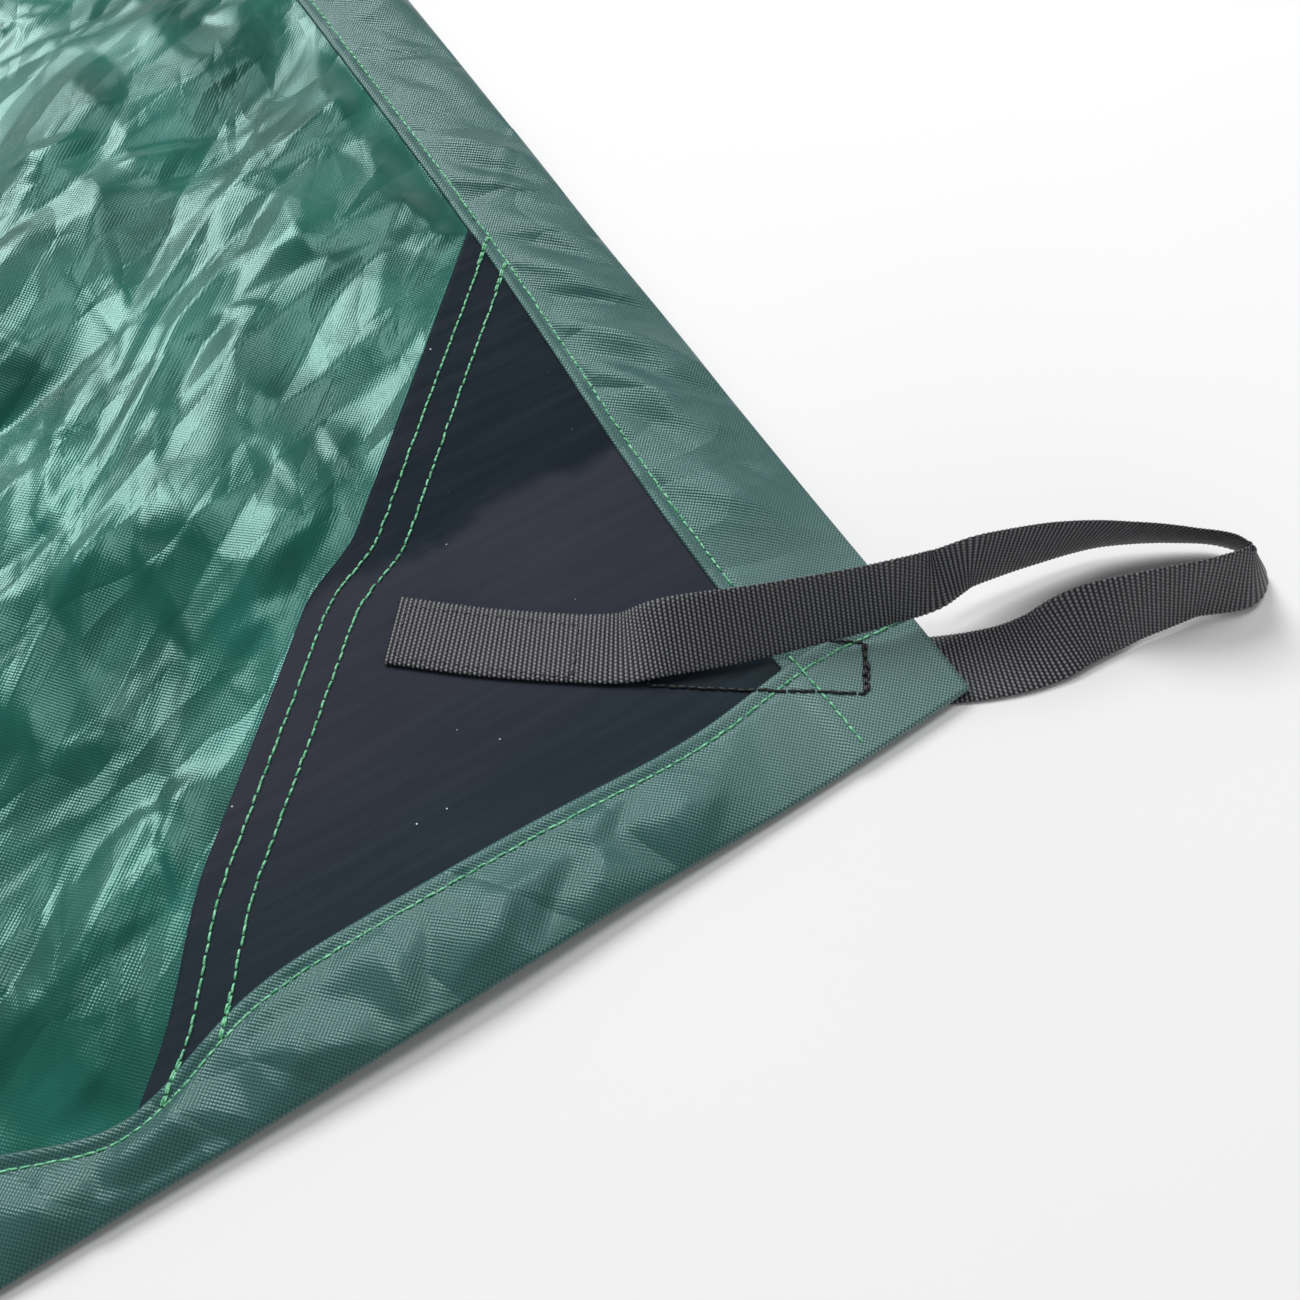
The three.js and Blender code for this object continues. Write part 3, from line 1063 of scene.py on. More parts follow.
    def hem_floor(self, run: HemRun, side: Array, front: Array, x: Array, y: Array) -> Array:
        """Height of what a hem lies on: the panel, the patch and the butted hem's end.

        Args:
            run: Which of the corner's two hems; only the through hem lies on the other's end.
            side: Distances from the corner's one edge.
            front: Distances from its other edge.
            x: First coordinates on the sheet of the same places.
            y: Second coordinates on the sheet.

        Returns:
            The heights.
        """
        height = self.underside(x, y) + self.cloth + self.ply_gap
        height = height + (self.patch + self.ply_gap) * self.in_patch(side, front)
        if run is HemRun.THROUGH:
            over = smoothstep(0.0015, -0.0005, side - self.hem_width(HemRun.BUTTED, front))
            height = height + (self.hem + self.ply_gap) * over
        return height

    def hem_puff(self, run: HemRun, place: Array, inward: Array, x: Array, y: Array) -> Array:
        """How far a hem's top stands up from lying flat.

        It is a flat arch between the outer edge and the stitch line, puckered into slanting facets of random
        cells, with a groove at the stitches and a low roll at the inner fold.

        Args:
            run: Which of the corner's two hems.
            place: Distances from the corner's tip.
            inward: Distances inwards from the sheet's edge.
            x: First coordinates on the sheet of the same places.
            y: Second coordinates on the sheet.

        Returns:
            The heights over a flat hem.
        """
        outer, inner = self.hem_outer(run, place), self.hem_width(run, place)
        share = np.clip((inward - outer) / (inner - self.seam_inset - outer), 0, 1)
        arch = np.sin(math.pi * share) ** 0.8
        slant = place + (0.9 if run is HemRun.THROUGH else -0.9) * inward
        soft = LatticeNoise(31 if run is HemRun.THROUGH else 32).at(slant / 0.040, inward / 0.060 + x * 3)
        fine = LatticeNoise(33).at(slant / 0.014, inward / 0.030 + y * 5)
        cells = RandomCells(34 if run is HemRun.THROUGH else 35)
        puckers = cells.border(slant / 0.050 + 0.15 * fine, (inward - 0.5 * place) / 0.042 + 0.2 * soft)
        slopes = 0.0100 * puckers * smoothstep(0.03, 0.13, place)
        rise = arch * (0.0010 + slopes + 0.0012 * soft + 0.0004 * fine)
        low = 0.25 + 0.75 * smoothstep(0.05, 0.11, place)
        roll = 0.0003 * bell(inward, inner - 0.0016, 0.0016)
        groove = 0.0003 * bell(inward, inner - self.seam_inset, 0.0009)
        return np.maximum(low * rise, -0.0003) + roll - groove

    def hem_top(self, run: HemRun, place: Array, inward: Array, plan: Array) -> Array:
        """Height of a hem's top surface.

        Args:
            run: Which of the corner's two hems.
            place: Distances from the corner's tip.
            inward: Distances inwards from the sheet's edge.
            plan: The same places on the sheet.

        Returns:
            The heights.
        """
        side, front = (place, inward) if run is HemRun.THROUGH else (inward, place)
        x, y = plan[..., 0], plan[..., 1]
        return self.hem_floor(run, side, front, x, y) + self.hem + self.hem_puff(run, place, inward, x, y)

    def top(self, corner: Corner, side: Array, front: Array) -> Array:
        """Height of whatever layer is uppermost near a corner.

        Args:
            corner: The corner.
            side: Distances from its one edge.
            front: Distances from its other edge.

        Returns:
            The heights.
        """
        plan = corner.plan(side, front)
        cloth = self.underside(plan[..., 0], plan[..., 1]) + self.cloth
        patch = cloth + self.in_patch(side, front) * (self.ply_gap + self.patch)
        butted = self.hem_top(HemRun.BUTTED, front, side, plan)
        through = self.hem_top(HemRun.THROUGH, side, front, plan)
        height = np.where(side < self.hem_width(HemRun.BUTTED, front), butted, patch)
        return np.where(front < self.hem_width(HemRun.THROUGH, side), through, height)


# ---- Sub-assemblies --------------------------------------------------------------------------------


@dataclass
class Builder:
    """What every sub-assembly needs: the shape of the cloth and the finishes."""

    shape: ClothShape
    finishes: Finishes
    fold_start: float = -0.252        # along, where a lifted corner's fold begins
    fold_end: float = -0.222          # along, where it ends

    def fold(self, piece: bpy.types.Object, corner: Corner) -> None:
        """Bakes a piece's placement into its mesh; the ends of the corner's fold are found but not used."""
        start, end = corner.point(self.fold_start, 0), corner.point(self.fold_end, 0)
        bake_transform(piece)


@dataclass
class Panel(Builder):
    """The cloth square: a middle piece and four corner pieces, cut where nothing shows."""

    corner_steps: int = 288
    middle_steps: int = 144
    edge_inset: float = 0.0016        # the cloth's edge inside the hem's fold
    inset_fade: float = 0.030         # the inset fades out over this distance
    slope_step: float = 0.0012        # half the span that a shading normal's slope is taken over

    def normals(self, x: Array, y: Array) -> Array:
        """Shading normals from the slope of the height over a short step each way.

        Args:
            x: First coordinates on the sheet.
            y: Second coordinates on the sheet.

        Returns:
            One normal per place.
        """
        step = self.slope_step
        slope_x = (self.shape.underside(x + step, y) - self.shape.underside(x - step, y)) / (2 * step)
        slope_y = (self.shape.underside(x, y + step) - self.shape.underside(x, y - step)) / (2 * step)
        normals = np.stack([-slope_x, -slope_y, np.ones_like(x)], axis=-1)
        return normals / np.linalg.norm(normals, axis=-1, keepdims=True)

    def cloth(
        self, name: str, plan: Array, top_faces: list[Array], rim: Array, halved: Array | None
    ) -> bpy.types.Object:
        """Builds one piece of the panel, coated on top and woven beneath.

        Args:
            name: The piece's name.
            plan: Place of each vertex on the sheet.
            top_faces: Faces of the top surface.
            rim: Vertex numbers round the edge.
            halved: Rows of a vertex on a cut edge and its two neighbours there, between which it is laid.

        Returns:
            The piece.
        """
        x, y = plan[:, 0], plan[:, 1]
        low = np.column_stack([plan, self.shape.underside(x, y)])
        normals = self.normals(x, y)
        if halved is not None:
            low[halved[:, 0]] = (low[halved[:, 1]] + low[halved[:, 2]]) / 2
            normals[halved[:, 0]] = (normals[halved[:, 1]] + normals[halved[:, 2]]) / 2
        high = low + np.array([0, 0, self.shape.cloth])
        points, faces = shell(high, low, top_faces, rim)
        both = np.concatenate([normals, -normals])
        materials = [self.finishes.coated, self.finishes.woven]
        piece = make_piece(name, points, faces, materials, np.tile(plan, (2, 1)), [0, 1, 1], both)
        return piece

    def corner(self, corner: Corner) -> bpy.types.Object:
        """Builds one corner of the panel, from the tip to the middle of both sides.

        Every second vertex of the cut edge is laid midway between its neighbours, because the middle
        piece has half as many there.

        Args:
            corner: The corner.

        Returns:
            The piece.
        """
        rows, columns, faces, rim = corner_grid(self.corner_steps)
        side, front = (grid * self.shape.half_side / self.corner_steps for grid in (rows, columns))
        outer_side = self.shape.hem_outer(HemRun.BUTTED, front) + self.edge_inset
        outer_front = self.shape.hem_outer(HemRun.THROUGH, side) + self.edge_inset
        near_side = smoothstep(self.inset_fade, 0.0, side)
        near_front = smoothstep(self.inset_fade, 0.0, front)
        plan = corner.plan(side + outer_side * near_side, front + outer_front * near_front)
        line = rim[self.corner_steps : 2 * self.corner_steps + 1]
        cut = np.column_stack([line[1:-1:2], line[0:-2:2], line[2::2]])
        return self.cloth(f"panel_corner_cloth_{corner.number}", plan, faces, rim, cut)

    def middle(self) -> bpy.types.Object:
        """Builds the middle of the panel, a square that stands on its corner.

        Returns:
            The piece.
        """
        rows, columns, faces, rim = square_grid(self.middle_steps)
        half = self.shape.half_side
        first, second = (grid / self.middle_steps for grid in (rows, columns))
        x, y = half * (first - second), half * (first + second - 1)
        shrink = []
        for value in (x, y):
            inward = half - np.abs(value)
            shrink.append(np.sign(value) * self.edge_inset * smoothstep(self.inset_fade, 0.0, inward))
        plan = np.stack([x - shrink[0], y - shrink[1]], axis=-1)
        return self.cloth("panel_middle_cloth", plan, faces, rim, None)

    def build(self, hems: dict[Corner, list[bpy.types.Object]]) -> None:
        """Args:
            hems: The sewn hems of each corner.
        """
        middle = self.middle()
        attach(middle, "sheet")
        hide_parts("panel")
        LOG.info("middle of the panel: %d faces", len(middle.data.polygons))
        for corner, sewn in hems.items():
            piece = self.corner(corner)
            self.fold(piece, corner)
            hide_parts(f"panel_corner_{corner.number}")
            LOG.info("corner %d of the panel: %d faces", corner.number, len(piece.data.polygons))


@dataclass
class CornerPatch(Builder):
    """The black three-sided patch that reinforces a corner."""

    steps: int = 150
    leg: float = 0.300
    edge_inset: float = 0.0022        # the patch's edge inside the hem's fold

    def build(self, corner: Corner) -> None:
        """Builds the patch of one corner: a three-sided grid whose inner edge follows the patch's own.

        Args:
            corner: The corner.
        """
        rows, columns, faces, rim = corner_grid(self.steps)
        row_share, column_share = rows / self.steps, columns / self.steps
        depth = row_share + column_share
        spare = self.leg - 2 * self.edge_inset
        side = self.edge_inset + self.shape.hem_outer(HemRun.BUTTED, column_share * self.leg)
        side = side + row_share * spare
        front = self.edge_inset + self.shape.hem_outer(HemRun.THROUGH, row_share * self.leg)
        front = front + column_share * spare
        along, across = to_diagonal(side, front)
        ends = -(2 * self.edge_inset + spare) * ROOT_HALF
        along = along + (self.shape.patch_edge(across) - ends) * depth**6
        side, front = from_diagonal(along, across)
        plan = corner.plan(side, front)
        low = self.shape.underside(plan[:, 0], plan[:, 1]) + self.shape.cloth + self.shape.ply_gap
        points, faces = shell(
            np.column_stack([plan, low + self.shape.patch]), np.column_stack([plan, low]), faces, rim
        )
        flat = np.tile(np.column_stack([side, front]), (2, 1))
        piece = make_piece(f"patch_cloth_{corner.number}", points, faces, [self.finishes.patch], flat)
        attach(piece, corner.body)
        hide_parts(f"patch_{corner.number}")
        LOG.info("patch %d: %d faces", corner.number, len(piece.data.polygons))


@dataclass
class Hem(Builder):
    """The turned edge of the sheet, in eight runs from a corner to the middle of a side."""

    step: float = 0.0020
    top_points: int = 26
    under_points: int = 8
    starts: tuple[float, float] = (0.0004, 0.006)  # first places of the through and of the butted hem
    clearance: float = 0.00003        # the hem's underside over what it lies on
    lowest: float = 0.00015           # its lowest height over the ground

    def sections(self, run: HemRun, corner: Corner, place: Array) -> tuple[Array, Array]:
        """Carries the hem's section along its run.

        The section starts on top near the outer fold, crosses to the inner fold, turns under it, comes
        back just over the layers beneath, and wraps round the outer edge of the panel from inside.

        Args:
            run: Which of the corner's two hems.
            corner: The corner.
            place: Distances from the corner's tip.

        Returns:
            Points in an array of places by section points by 3, and the places on the flat cloth.
        """
        shape = self.shape
        outer, inner = shape.hem_outer(run, place)[:, None], shape.hem_width(run, place)[:, None]
        share = 0.5 - 0.5 * np.cos(np.linspace(0.12, 0.97, self.top_points) * math.pi)
        over = outer + (inner - outer) * share
        back = inner - 0.0004 - (inner - outer - 0.0022) * np.linspace(0, 1, self.under_points)
        rounds = np.array([[0.0, 0.8], [0.00035, 0.5], [0.0001, 0.15]])
        fold = np.concatenate([inner + rounds[:, 0][None], back], axis=1)
        wrap = outer + np.array([[0.0013, 0.0010, 0.0005, 0.0001, -0.0001, 0.0001, 0.0004]])
        inward = np.concatenate([over, fold, wrap], axis=1)
        along = np.broadcast_to(place[:, None], inward.shape)
        side, front = (along, inward) if run is HemRun.THROUGH else (inward, along)
        plan = corner.plan(side, front)
        x, y = plan[..., 0], plan[..., 1]
        top = shape.hem_top(run, along, np.clip(inward, outer, inner), plan)
        floor = shape.hem_floor(run, side, front, x, y) + self.clearance
        ground = shape.underside(x, y)
        height = np.empty_like(inward)
        count = self.top_points
        height[:, :count] = top[:, :count]
        for k, part in enumerate(rounds[:, 1]):
            height[:, count + k] = floor[:, count + k] + (top[:, count + k] - floor[:, count + k]) * part
        count += len(rounds)
        height[:, count : count + self.under_points] = floor[:, count : count + self.under_points]
        count += self.under_points
        height[:, count] = floor[:, count]
        for k, part in enumerate([-0.15, -0.22, -0.05, 0.35, 0.75, 0.95], start=count + 1):
            height[:, k] = ground[:, k] + (top[:, k] - ground[:, k]) * part
        points = np.concatenate([plan, np.maximum(height, self.lowest)[..., None]], axis=-1)
        return points, np.stack([along, inward], axis=-1).reshape(-1, 2)

    def build(self, run: HemRun, corner: Corner) -> bpy.types.Object:
        """Builds one run of hem, from the corner to the middle of the side.

        Args:
            run: Which of the corner's two hems.
            corner: The corner.

        Returns:
            The piece.
        """
        count = round(self.shape.half_side / self.step)
        start = self.starts[run is HemRun.BUTTED]
        place = np.linspace(start, self.shape.half_side, count)
        sections, flat = self.sections(run, corner, place)
        points, faces = loft(sections)
        name = f"{run.value}_cloth_{corner.number}"
        piece = make_piece(name, points, faces, [self.finishes.woven], flat)
        self.fold(piece, corner)
        nodes = [f"{run.value}_{corner.number}"]
        if run is HemRun.BUTTED:
            nodes.append(f"hem_middle_{corner.number}")
        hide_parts(*nodes)
        LOG.info("%s: %d faces", name, len(piece.data.polygons))
        return piece


@dataclass
class Stitching(Builder):
    """Rows of lockstitch, each stitch a short arch of thread."""

    pitch: float = 0.0034
    length: float = 0.0033
    radius: float = 0.00040
    along_points: int = 6
    around_points: int = 6
    uneven: float = 0.0003            # how far a stitch is shifted along the row at random
    sway: float = 0.00022             # and either end of it both ways in the plane of the cloth
    starts: tuple[float, float] = (0.0020, 0.0075)  # first places of the through and the butted hem's rows
    patch_insets: tuple = (("near", 0.0067), ("far", 0.0165))  # rows from the patch's inner edge
    back: int = 30                    # path points of a patch row that are sewn twice at either end
    back_shift: float = 0.0004
    back_lift: float = 0.0002

    def stitches(
        self,
        corner: Corner,
        side: Array,
        front: Array,
        seed: int,
        lift: float = 0.0,
        level: float | None = None,
    ) -> tuple[Array, list[Array]]:
        """Lays stitches along a path on the uppermost cloth.

        The path is cut into even steps of one pitch. Each stitch is a tube whose middle line is a low arch
        and whose radius is the fourth root of 1 - t^4, with t from -1 to 1 along it, so that both its ends
        close. It is shifted and turned a little at random.

        Args:
            corner: The corner whose distances the path is given in.
            side: Path's distances from one edge.
            front: Path's distances from the other edge.
            seed: Seed of the small shifts.
            lift: Extra height of the thread over the cloth.
            level: Height to sew at, or None for the uppermost cloth.

        Returns:
            Points and faces of all the stitches.
        """
        lengths = np.concatenate([[0], np.cumsum(np.hypot(np.diff(side), np.diff(front)))])
        count = max(int(lengths[-1] / self.pitch), 1)
        marks = (np.arange(count) + 0.5) * lengths[-1] / count
        random = np.random.default_rng(seed)
        marks = np.clip(marks + random.uniform(-self.uneven, self.uneven, count), 0, lengths[-1])
        ends = []
        for shift in (-0.5, 0.5):
            at = np.clip(marks + shift * self.length, 0, lengths[-1])
            place_side, place_front = np.interp(at, lengths, side), np.interp(at, lengths, front)
            sway = random.uniform(-self.sway, self.sway, (2, count))
            place_side, place_front = place_side + sway[0], place_front + sway[1]
            if level is None:
                height = self.shape.top(corner, place_side, place_front)
            else:
                height = np.full(count, level)
            ends.append(np.column_stack([corner.plan(place_side, place_front), height]))
        first, last = ends
        run = last - first
        tangent = run / np.linalg.norm(run, axis=1, keepdims=True)
        beside = np.cross(np.array([0.0, 0.0, 1.0]), tangent)
        beside /= np.linalg.norm(beside, axis=1, keepdims=True)
        up = np.cross(tangent, beside)
        t = np.cos(np.linspace(math.pi, 0, self.along_points + 2))[1:-1]
        thickness = self.radius * (1 - t**4) ** 0.25
        arch = self.radius * (0.9 - 1.2 * t**4) + lift
        turn = np.arange(self.around_points) / self.around_points * TAU
        middle = (first + last)[:, None] / 2 + run[:, None] * (t / 2)[None, :, None]
        middle = middle + up[:, None] * arch[None, :, None]
        sideways, upwards = np.cos(turn)[None, None, :, None], np.sin(turn)[None, None, :, None]
        ring = beside[:, None, None] * sideways + up[:, None, None] * upwards
        points = middle[:, :, None] + ring * thickness[None, :, None, None]
        number = np.arange(self.along_points * self.around_points).reshape(self.along_points, -1)
        following = np.roll(number, -1, axis=1)
        quads = np.stack([number[:-1], following[:-1], following[1:], number[1:]], axis=-1).reshape(-1, 4)
        caps = np.stack([number[0, ::-1], number[-1]])
        offset = np.arange(count)[:, None, None] * number.size
        faces = [(quads + offset).reshape(-1, 4), (caps + offset).reshape(-1, self.around_points)]
        return points.reshape(-1, 3), faces

    def joined(self, name: str, runs: list[tuple[Array, list[Array]]], green: bool) -> bpy.types.Object:
        """Joins several rows of stitches into one piece.

        Args:
            name: The piece's name.
            runs: Points and faces of each row.
            green: True for green thread, False for black.

        Returns:
            The piece.
        """
        points, quads, caps, offset = [], [], [], 0
        for run_points, (run_quads, run_caps) in runs:
            points.append(run_points)
            quads.append(run_quads + offset)
            caps.append(run_caps + offset)
            offset += len(run_points)
        material = self.finishes.green_thread if green else self.finishes.black_thread
        faces = [np.concatenate(quads), np.concatenate(caps)]
        piece = make_piece(name, np.concatenate(points), faces, [material])
        LOG.info("%s: %d stitches", name, len(faces[1]) // 2)
        return piece

    def hem_row(self, run: HemRun, corner: Corner) -> None:
        """Sews one hem down, just outside its inner fold, from the corner to the middle of the side.

        Args:
            run: Which of the corner's two hems.
            corner: The corner.
        """
        place = np.linspace(self.starts[run is HemRun.BUTTED], self.shape.half_side, 600)
        inward = self.shape.hem_width(run, place) - self.shape.seam_inset
        side, front = (place, inward) if run is HemRun.THROUGH else (inward, place)
        name = f"{run.value}_thread_{corner.number}"
        stitches = self.stitches(corner, side, front, corner.number * 10 + (run is HemRun.BUTTED))
        piece = self.joined(name, [stitches], True)
        self.fold(piece, corner)
        if run is HemRun.BUTTED:
            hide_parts(f"hem_seam_{corner.number}")

    def patch_rows(self, corner: Corner) -> None:
        """Sews the patch down with two rows along its inner edge, each sewn back over itself at both ends.

        Args:
            corner: The corner.
        """
        across = np.linspace(-0.22, 0.22, 900)
        over = self.shape.seam_inset
        for name, inset in self.patch_insets:
            along = self.shape.patch_edge(across) + inset
            side, front = from_diagonal(along, across)
            kept = (front > self.shape.hem_width(HemRun.THROUGH, side) - over) & (
                side > self.shape.hem_width(HemRun.BUTTED, front) - over
            )
            side, front = side[kept], front[kept]
            runs = [self.stitches(corner, side, front, corner.number * 10 + 3)]
            for part in (slice(None, self.back), slice(-self.back, None)):
                beside = (side[part] + self.back_shift, front[part] + self.back_shift)
                runs.append(self.stitches(corner, *beside, corner.number * 10 + 4, self.back_lift))
            piece = self.joined(f"patch_thread_{name}_{corner.number}", runs, True)
            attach(piece, corner.body)
            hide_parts(f"patch_seam_{name}_{corner.number}")

    def box(self, corner: Corner, upper: bool) -> None:
        """Sews one end of the webbing to the corner with a box of black thread.

        The upper end's box sinks between the ribs. The lower end's goes through the corner and shows on top
        of it. The box is a rectangle turned to the webbing, and its outer short side is sewn three times.

        Args:
            corner: The corner.
            upper: True for the webbing's upper end, False for its lower one.
        """
        if upper:
            middle, turn, level = (-0.1565, -0.0150), math.radians(5.5), 0.0045
            half_length, half_width = 0.0285, 0.0095
        else:
            middle, turn, level = (-0.0708, -0.0033), math.radians(9.7), None
            half_length, half_width = 0.0345, 0.0093
        over = 0.0007 / half_length
        outline = np.array([(1, 1), (1, -1), (-1, -1), (-1, 1), (1 - over, 1), (1 - over, -1)], float)
        outline = np.concatenate([outline, [(1 + over, -0.95), (1 + over, 0.3)]]) * (half_length, half_width)
        cos, sin = math.cos(turn), math.sin(turn)
        along = middle[0] + outline[:, 0] * cos - outline[:, 1] * sin
        across = middle[1] + outline[:, 0] * sin + outline[:, 1] * cos
        side, front = from_diagonal(along, across)
        kept = (0, 1, 2, 3, 4, 6)
        runs = [
            self.stitches(corner, side[k : k + 2], front[k : k + 2], corner.number * 10 + k, level=level)
            for k in kept
        ]
        end = "upper" if upper else "lower"
        piece = self.joined(f"box_thread_{end}_{corner.number}", runs, False)
        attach(piece, corner.body)
        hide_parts(f"box_stitch_{end}_{corner.number}")


@dataclass
class Webbing(Builder):
    """The webbing handle of a corner, one strap from its upper sewn end to its lower one."""

    width: float = 0.025
    thickness: float = 0.0013
    rib: float = 0.0015               # length of one rib
    rib_height: float = 0.00036
    scallop: float = 0.00045          # how far each rib stands out at the edges
    points_per_rib: int = 4
    across_points: int = 12
    swing_start: float = -0.015       # along, where a swung handle begins to turn
    swing_end: float = 0.020
    line_points: int = 4000           # points that the route's length is measured over
    soft_reach: int = 13              # sections on either side that height and roll are averaged over
    # Along, across and height of the lower edge in metres, and roll in degrees, at each station.
    route: tuple = (
        (-0.188, -0.0175, 0.00435, 0),
        (-0.157, -0.0150, 0.00435, 0),
        (-0.127, -0.0105, 0.00435, 0),
        (-0.114, -0.0080, 0.00470, 4),
        (-0.101, -0.0040, 0.00595, 24),
        (-0.077, 0.0040, 0.00595, 46),
        (-0.053, 0.0140, 0.00695, 58),
        (-0.034, 0.0230, 0.00820, 64),
        (-0.0215, 0.0308, 0.00690, 66),
        (-0.011, 0.0385, 0.00880, 78),
        (0.012, 0.0525, 0.00650, 90),
        (0.033, 0.0620, 0.00500, 104),
        (0.055, 0.0680, 0.00360, 112),
        (0.0712, 0.0700, 0.00280, 116),
        (0.0803, 0.0662, 0.00240, 123),
        (0.0792, 0.0598, 0.00220, 119),
        (0.063, 0.0502, 0.00190, 108),
        (0.043, 0.0395, 0.00140, 124),
        (0.028, 0.0315, 0.00150, 150),
        (0.018, 0.0240, 0.00130, 172),
        (0.008, 0.0180, 0.00110, 178),
        (-0.010, 0.0105, 0.00075, 180),
        (-0.036, 0.0030, 0.00075, 180),
        (-0.106, -0.0090, 0.00075, 180),
    )

    def middle_line(self, stations: Array) -> tuple[Array, Array]:
        """Follows the route.

        The plan is a centripetal Catmull-Rom curve through the stations; the height of the lower edge and
        the roll change evenly between two stations.

        Args:
            stations: Places on the route, counted in stations.

        Returns:
            Points on the middle of the strap in the first corner's along, across and height, and the roll.
        """
        route = np.array(self.route, float)
        plan = route[:, :2]
        plan = np.concatenate([[2 * plan[0] - plan[1]], plan, [2 * plan[-1] - plan[-2]]])
        before = np.minimum(np.floor(stations).astype(int), len(route) - 2)
        share = (stations - before)[:, None]
        a, b, c, d = (plan[before + k] for k in range(4))
        first, second, third = (
            np.linalg.norm(u - v, axis=1, keepdims=True) ** 0.5 for u, v in ((b, a), (c, b), (d, c))
        )
        leave = ((b - a) / first - (c - a) / (first + second) + (c - b) / second) * second
        arrive = ((c - b) / second - (d - b) / (second + third) + (d - c) / third) * second
        curve = b + leave * share + (3 * (c - b) - 2 * leave - arrive) * share**2
        curve += (2 * (b - c) + leave + arrive) * share**3
        low, roll = (np.interp(stations, np.arange(len(route)), route[:, k]) for k in (2, 3))
        roll = np.radians(roll)
        return np.column_stack([curve, low + self.width / 2 * np.sin(roll)]), roll

    def build(self, corner: Corner) -> None:
        """Builds the strap: its section is carried along the route, thicker and wider on every rib.

        Args:
            corner: The corner.
        """
        dense = np.linspace(0, len(self.route) - 1, self.line_points)
        line, roll = self.middle_line(dense)
        length = np.concatenate([[0], np.cumsum(np.linalg.norm(np.diff(line, axis=0), axis=1))])
        count = int(length[-1] / self.rib) * self.points_per_rib
        at = np.linspace(0, length[-1], count)
        centre = np.column_stack([np.interp(at, length, line[:, k]) for k in range(3)])
        soft = np.hanning(2 * self.soft_reach + 1)
        soft /= soft.sum()
        roll = np.interp(at, length, roll)
        roll = np.convolve(np.pad(roll, self.soft_reach, mode="edge"), soft, mode="valid")
        padded = np.pad(centre[:, 2], self.soft_reach, mode="edge")
        centre[:, 2] = np.convolve(padded, soft, mode="valid")
        tangent = np.gradient(centre, axis=0)
        tangent /= np.linalg.norm(tangent, axis=1, keepdims=True)
        level = np.column_stack([-tangent[:, 1], tangent[:, 0], np.zeros(count)])
        level /= np.linalg.norm(level, axis=1, keepdims=True)
        wide = level * np.cos(roll)[:, None] + np.array([0, 0, 1.0]) * np.sin(roll)[:, None]
        wide -= tangent * np.einsum("ij,ij->i", wide, tangent)[:, None]
        wide /= np.linalg.norm(wide, axis=1, keepdims=True)
        face = np.cross(tangent, wide)
        rib = np.abs(np.sin(math.pi * at / self.rib))
        spot = np.cos(np.linspace(math.pi, 0, self.across_points))
        half = self.width / 2 - self.scallop * (1 - rib)
        profile = (1 - np.abs(spot) ** 8) ** 0.5
        swell = (self.thickness / 2 - self.rib_height * (1 - rib))[:, None] * (0.25 + 0.75 * profile)
        place = np.concatenate([spot, spot[::-1]])
        up = np.concatenate([swell, -swell[:, ::-1]], axis=1)
        sections = centre[:, None] + wide[:, None] * (place[None] * half[:, None])[..., None]
        sections = sections + face[:, None] * up[..., None]
        side, front = from_diagonal(sections[..., 0], sections[..., 1])
        rings = np.concatenate([corner.plan(side, front), sections[..., 2:]], axis=-1)
        points, faces = loft(rings)
        flat = np.stack(np.broadcast_arrays(at[:, None], place[None] * self.width / 2), axis=-1)
        flat = flat.reshape(-1, 2)
        piece = make_piece(f"webbing_strap_{corner.number}", points, faces, [self.finishes.webbing], flat)
        number = corner.number
        start, end = corner.point(self.swing_start, 0), corner.point(self.swing_end, 0)
        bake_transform(piece)
        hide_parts(f"strap_upper_{number}", f"grip_loop_{number}", f"strap_under_{number}")
        LOG.info("webbing %d: %d faces, %.0f mm long", number, len(piece.data.polygons), length[-1] * 1000)


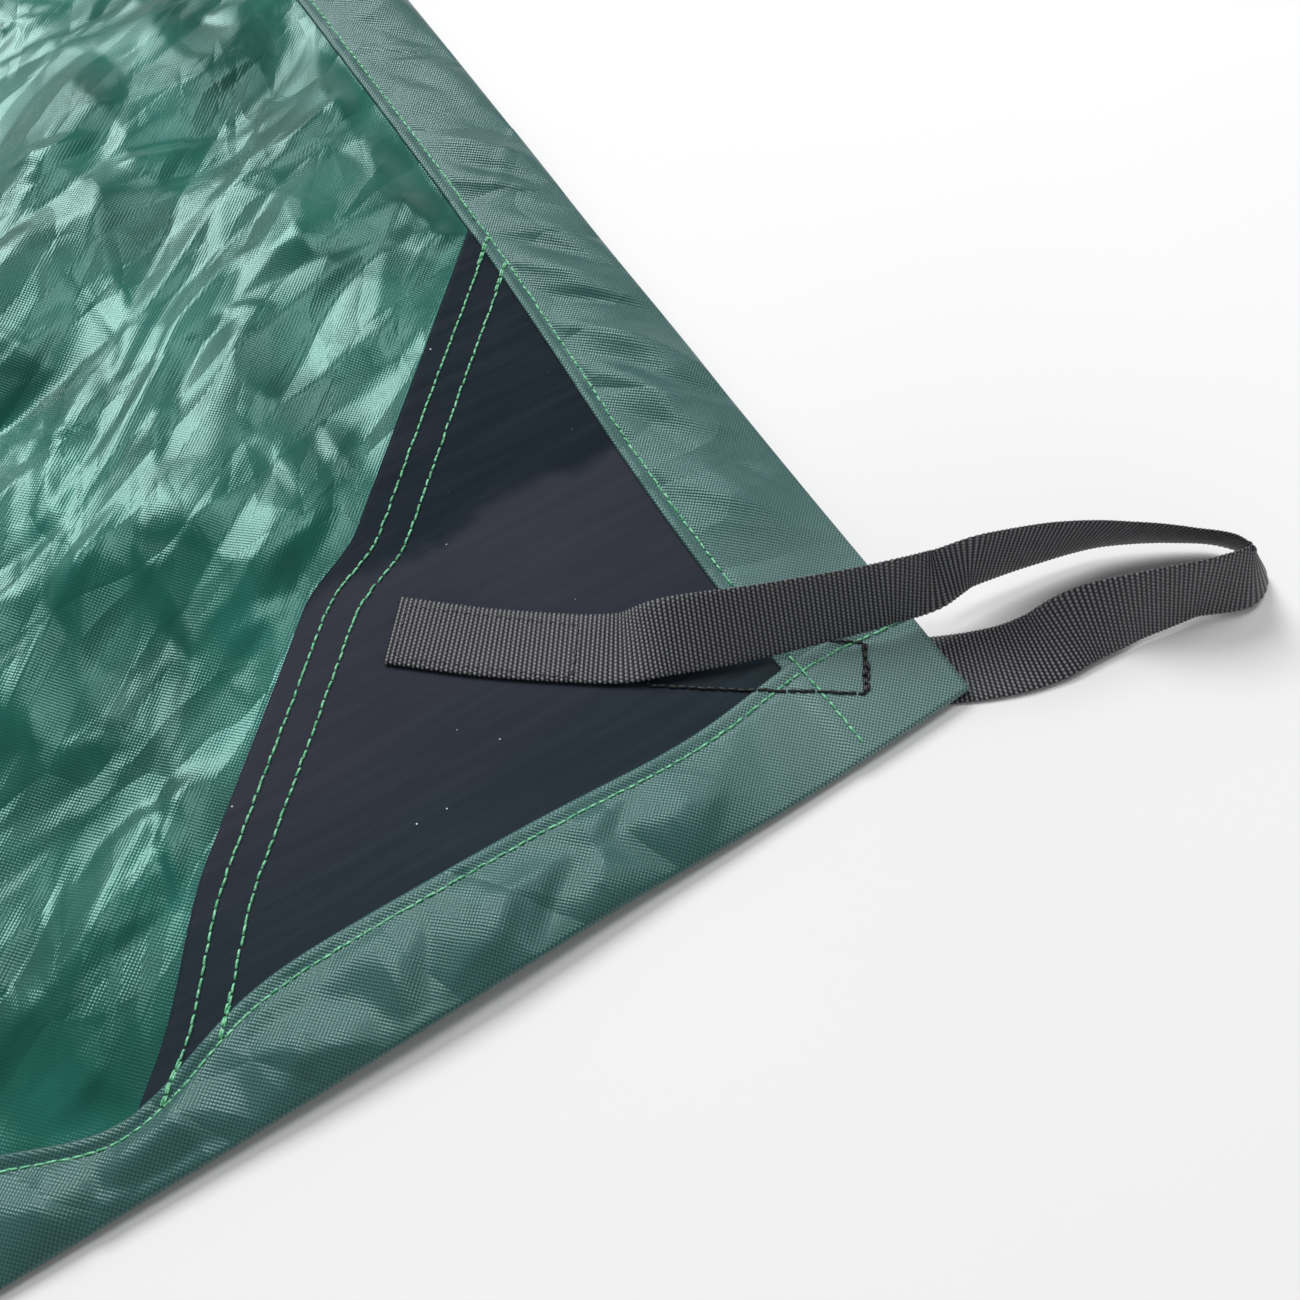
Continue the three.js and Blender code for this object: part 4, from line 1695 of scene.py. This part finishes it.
@dataclass
class Studio:
    """Floor, lights and camera."""

    eye: tuple[float, float, float] = (0.3986, -0.7253, 0.4310)
    look: tuple[float, float, float] = (0.2527, 0.4029, -0.8796)
    lens: float = 41.95
    sensor: float = 36.0
    floor_half: float = 2.6
    key_place: tuple[float, float, float] = (0.33, 2.53, 2.67)
    key_size: float = 1.6
    key_power: float = 131.0
    fill_place: tuple[float, float, float] = (1.50, 0.13, 2.21)
    fill_size: float = 0.9
    fill_power: float = 21.0
    sky_low: float = 1.12             # brightness of the sky at the horizon
    sky_high: float = 0.16            # and overhead

    def camera(self) -> None:
        """Makes the camera and makes it the scene's own."""
        data = bpy.data.cameras.new("camera")
        data.lens, data.sensor_width = self.lens, self.sensor
        data.clip_start, data.clip_end = 0.01, 50
        camera = bpy.data.objects.new("camera", data)
        camera.location = self.eye
        camera.rotation_mode = "QUATERNION"
        camera.rotation_quaternion = Vector(self.look).to_track_quat("-Z", "Y")
        bpy.context.scene.collection.objects.link(camera)
        bpy.context.scene.camera = camera

    def floor(self) -> None:
        """Makes the floor, one large square."""
        half = self.floor_half
        points = np.array([(-half, -half, 0), (half, -half, 0), (half, half, 0), (-half, half, 0)], float)
        floor = make_piece("floor", points, [np.array([[0, 1, 2, 3]])], [PaleFloor().build()])

    def light(
        self, name: str, place: tuple[float, float, float], size: float, power: float, aim: Vector
    ) -> None:
        """Makes one square soft light.

        Args:
            name: The light's name.
            place: Where it hangs.
            size: Its side.
            power: Its power, in watts.
            aim: The point that it faces.
        """
        data = bpy.data.lights.new(name, "AREA")
        data.shape, data.size, data.energy = "SQUARE", size, power
        light = bpy.data.objects.new(name, data)
        light.location = place
        light.rotation_mode = "QUATERNION"
        light.rotation_quaternion = (aim - Vector(place)).to_track_quat("-Z", "Y")
        bpy.context.scene.collection.objects.link(light)

    def sky(self) -> None:
        """Makes a pale sky, bright near the horizon and darker overhead."""
        world = bpy.data.worlds.new("sky")
        world.use_nodes = True
        tree = world.node_tree
        background = tree.nodes["Background"]
        background.inputs["Color"].default_value = linear("#ffffff")
        place = add_node(tree, "ShaderNodeTexCoord").outputs["Generated"]
        height = add_node(tree, "ShaderNodeSeparateXYZ", inputs={0: place}).outputs[2]
        strength = spread(tree, height, 0.0, 0.6, self.sky_low, self.sky_high)
        tree.links.new(strength, background.inputs["Strength"])
        bpy.context.scene.world = world

    def build(self, aim: Vector) -> None:
        """Makes the camera, the floor and the lights, and shows colours as they are.

        Args:
            aim: The point that the lights face.
        """
        self.camera()
        self.floor()
        self.light("key", self.key_place, self.key_size, self.key_power, aim)
        self.light("fill", self.fill_place, self.fill_size, self.fill_power, aim)
        self.sky()
        bpy.context.scene.view_settings.view_transform = "Standard"


def main() -> None:
    """Loads the frame and builds every piece around it."""
    logging.basicConfig(level=logging.INFO, format="%(message)s")
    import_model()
    half_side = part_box("hem_middle_1")[1].x
    shape = ClothShape(half_side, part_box("panel_corner_1")[0].z + 0.0002, Relief(half_side))
    corners = [Corner(number, shape.half_side) for number in (1, 2, 3, 4)]
    Studio().build(corners[0].point(-0.15, 0))
    finishes = Finishes()
    hems = {corner: [Hem(shape, finishes).build(run, corner) for run in HemRun] for corner in corners}
    Panel(shape, finishes).build(hems)
    for corner in corners:
        CornerPatch(shape, finishes).build(corner)
        for run in HemRun:
            Stitching(shape, finishes).hem_row(run, corner)
        Stitching(shape, finishes).patch_rows(corner)
        Stitching(shape, finishes, radius=0.00030).box(corner, upper=True)
        Stitching(shape, finishes, pitch=0.0031, length=0.0034, radius=0.00052).box(corner, upper=False)
        Webbing(shape, finishes).build(corner)


if __name__ == "__main__":
    main()
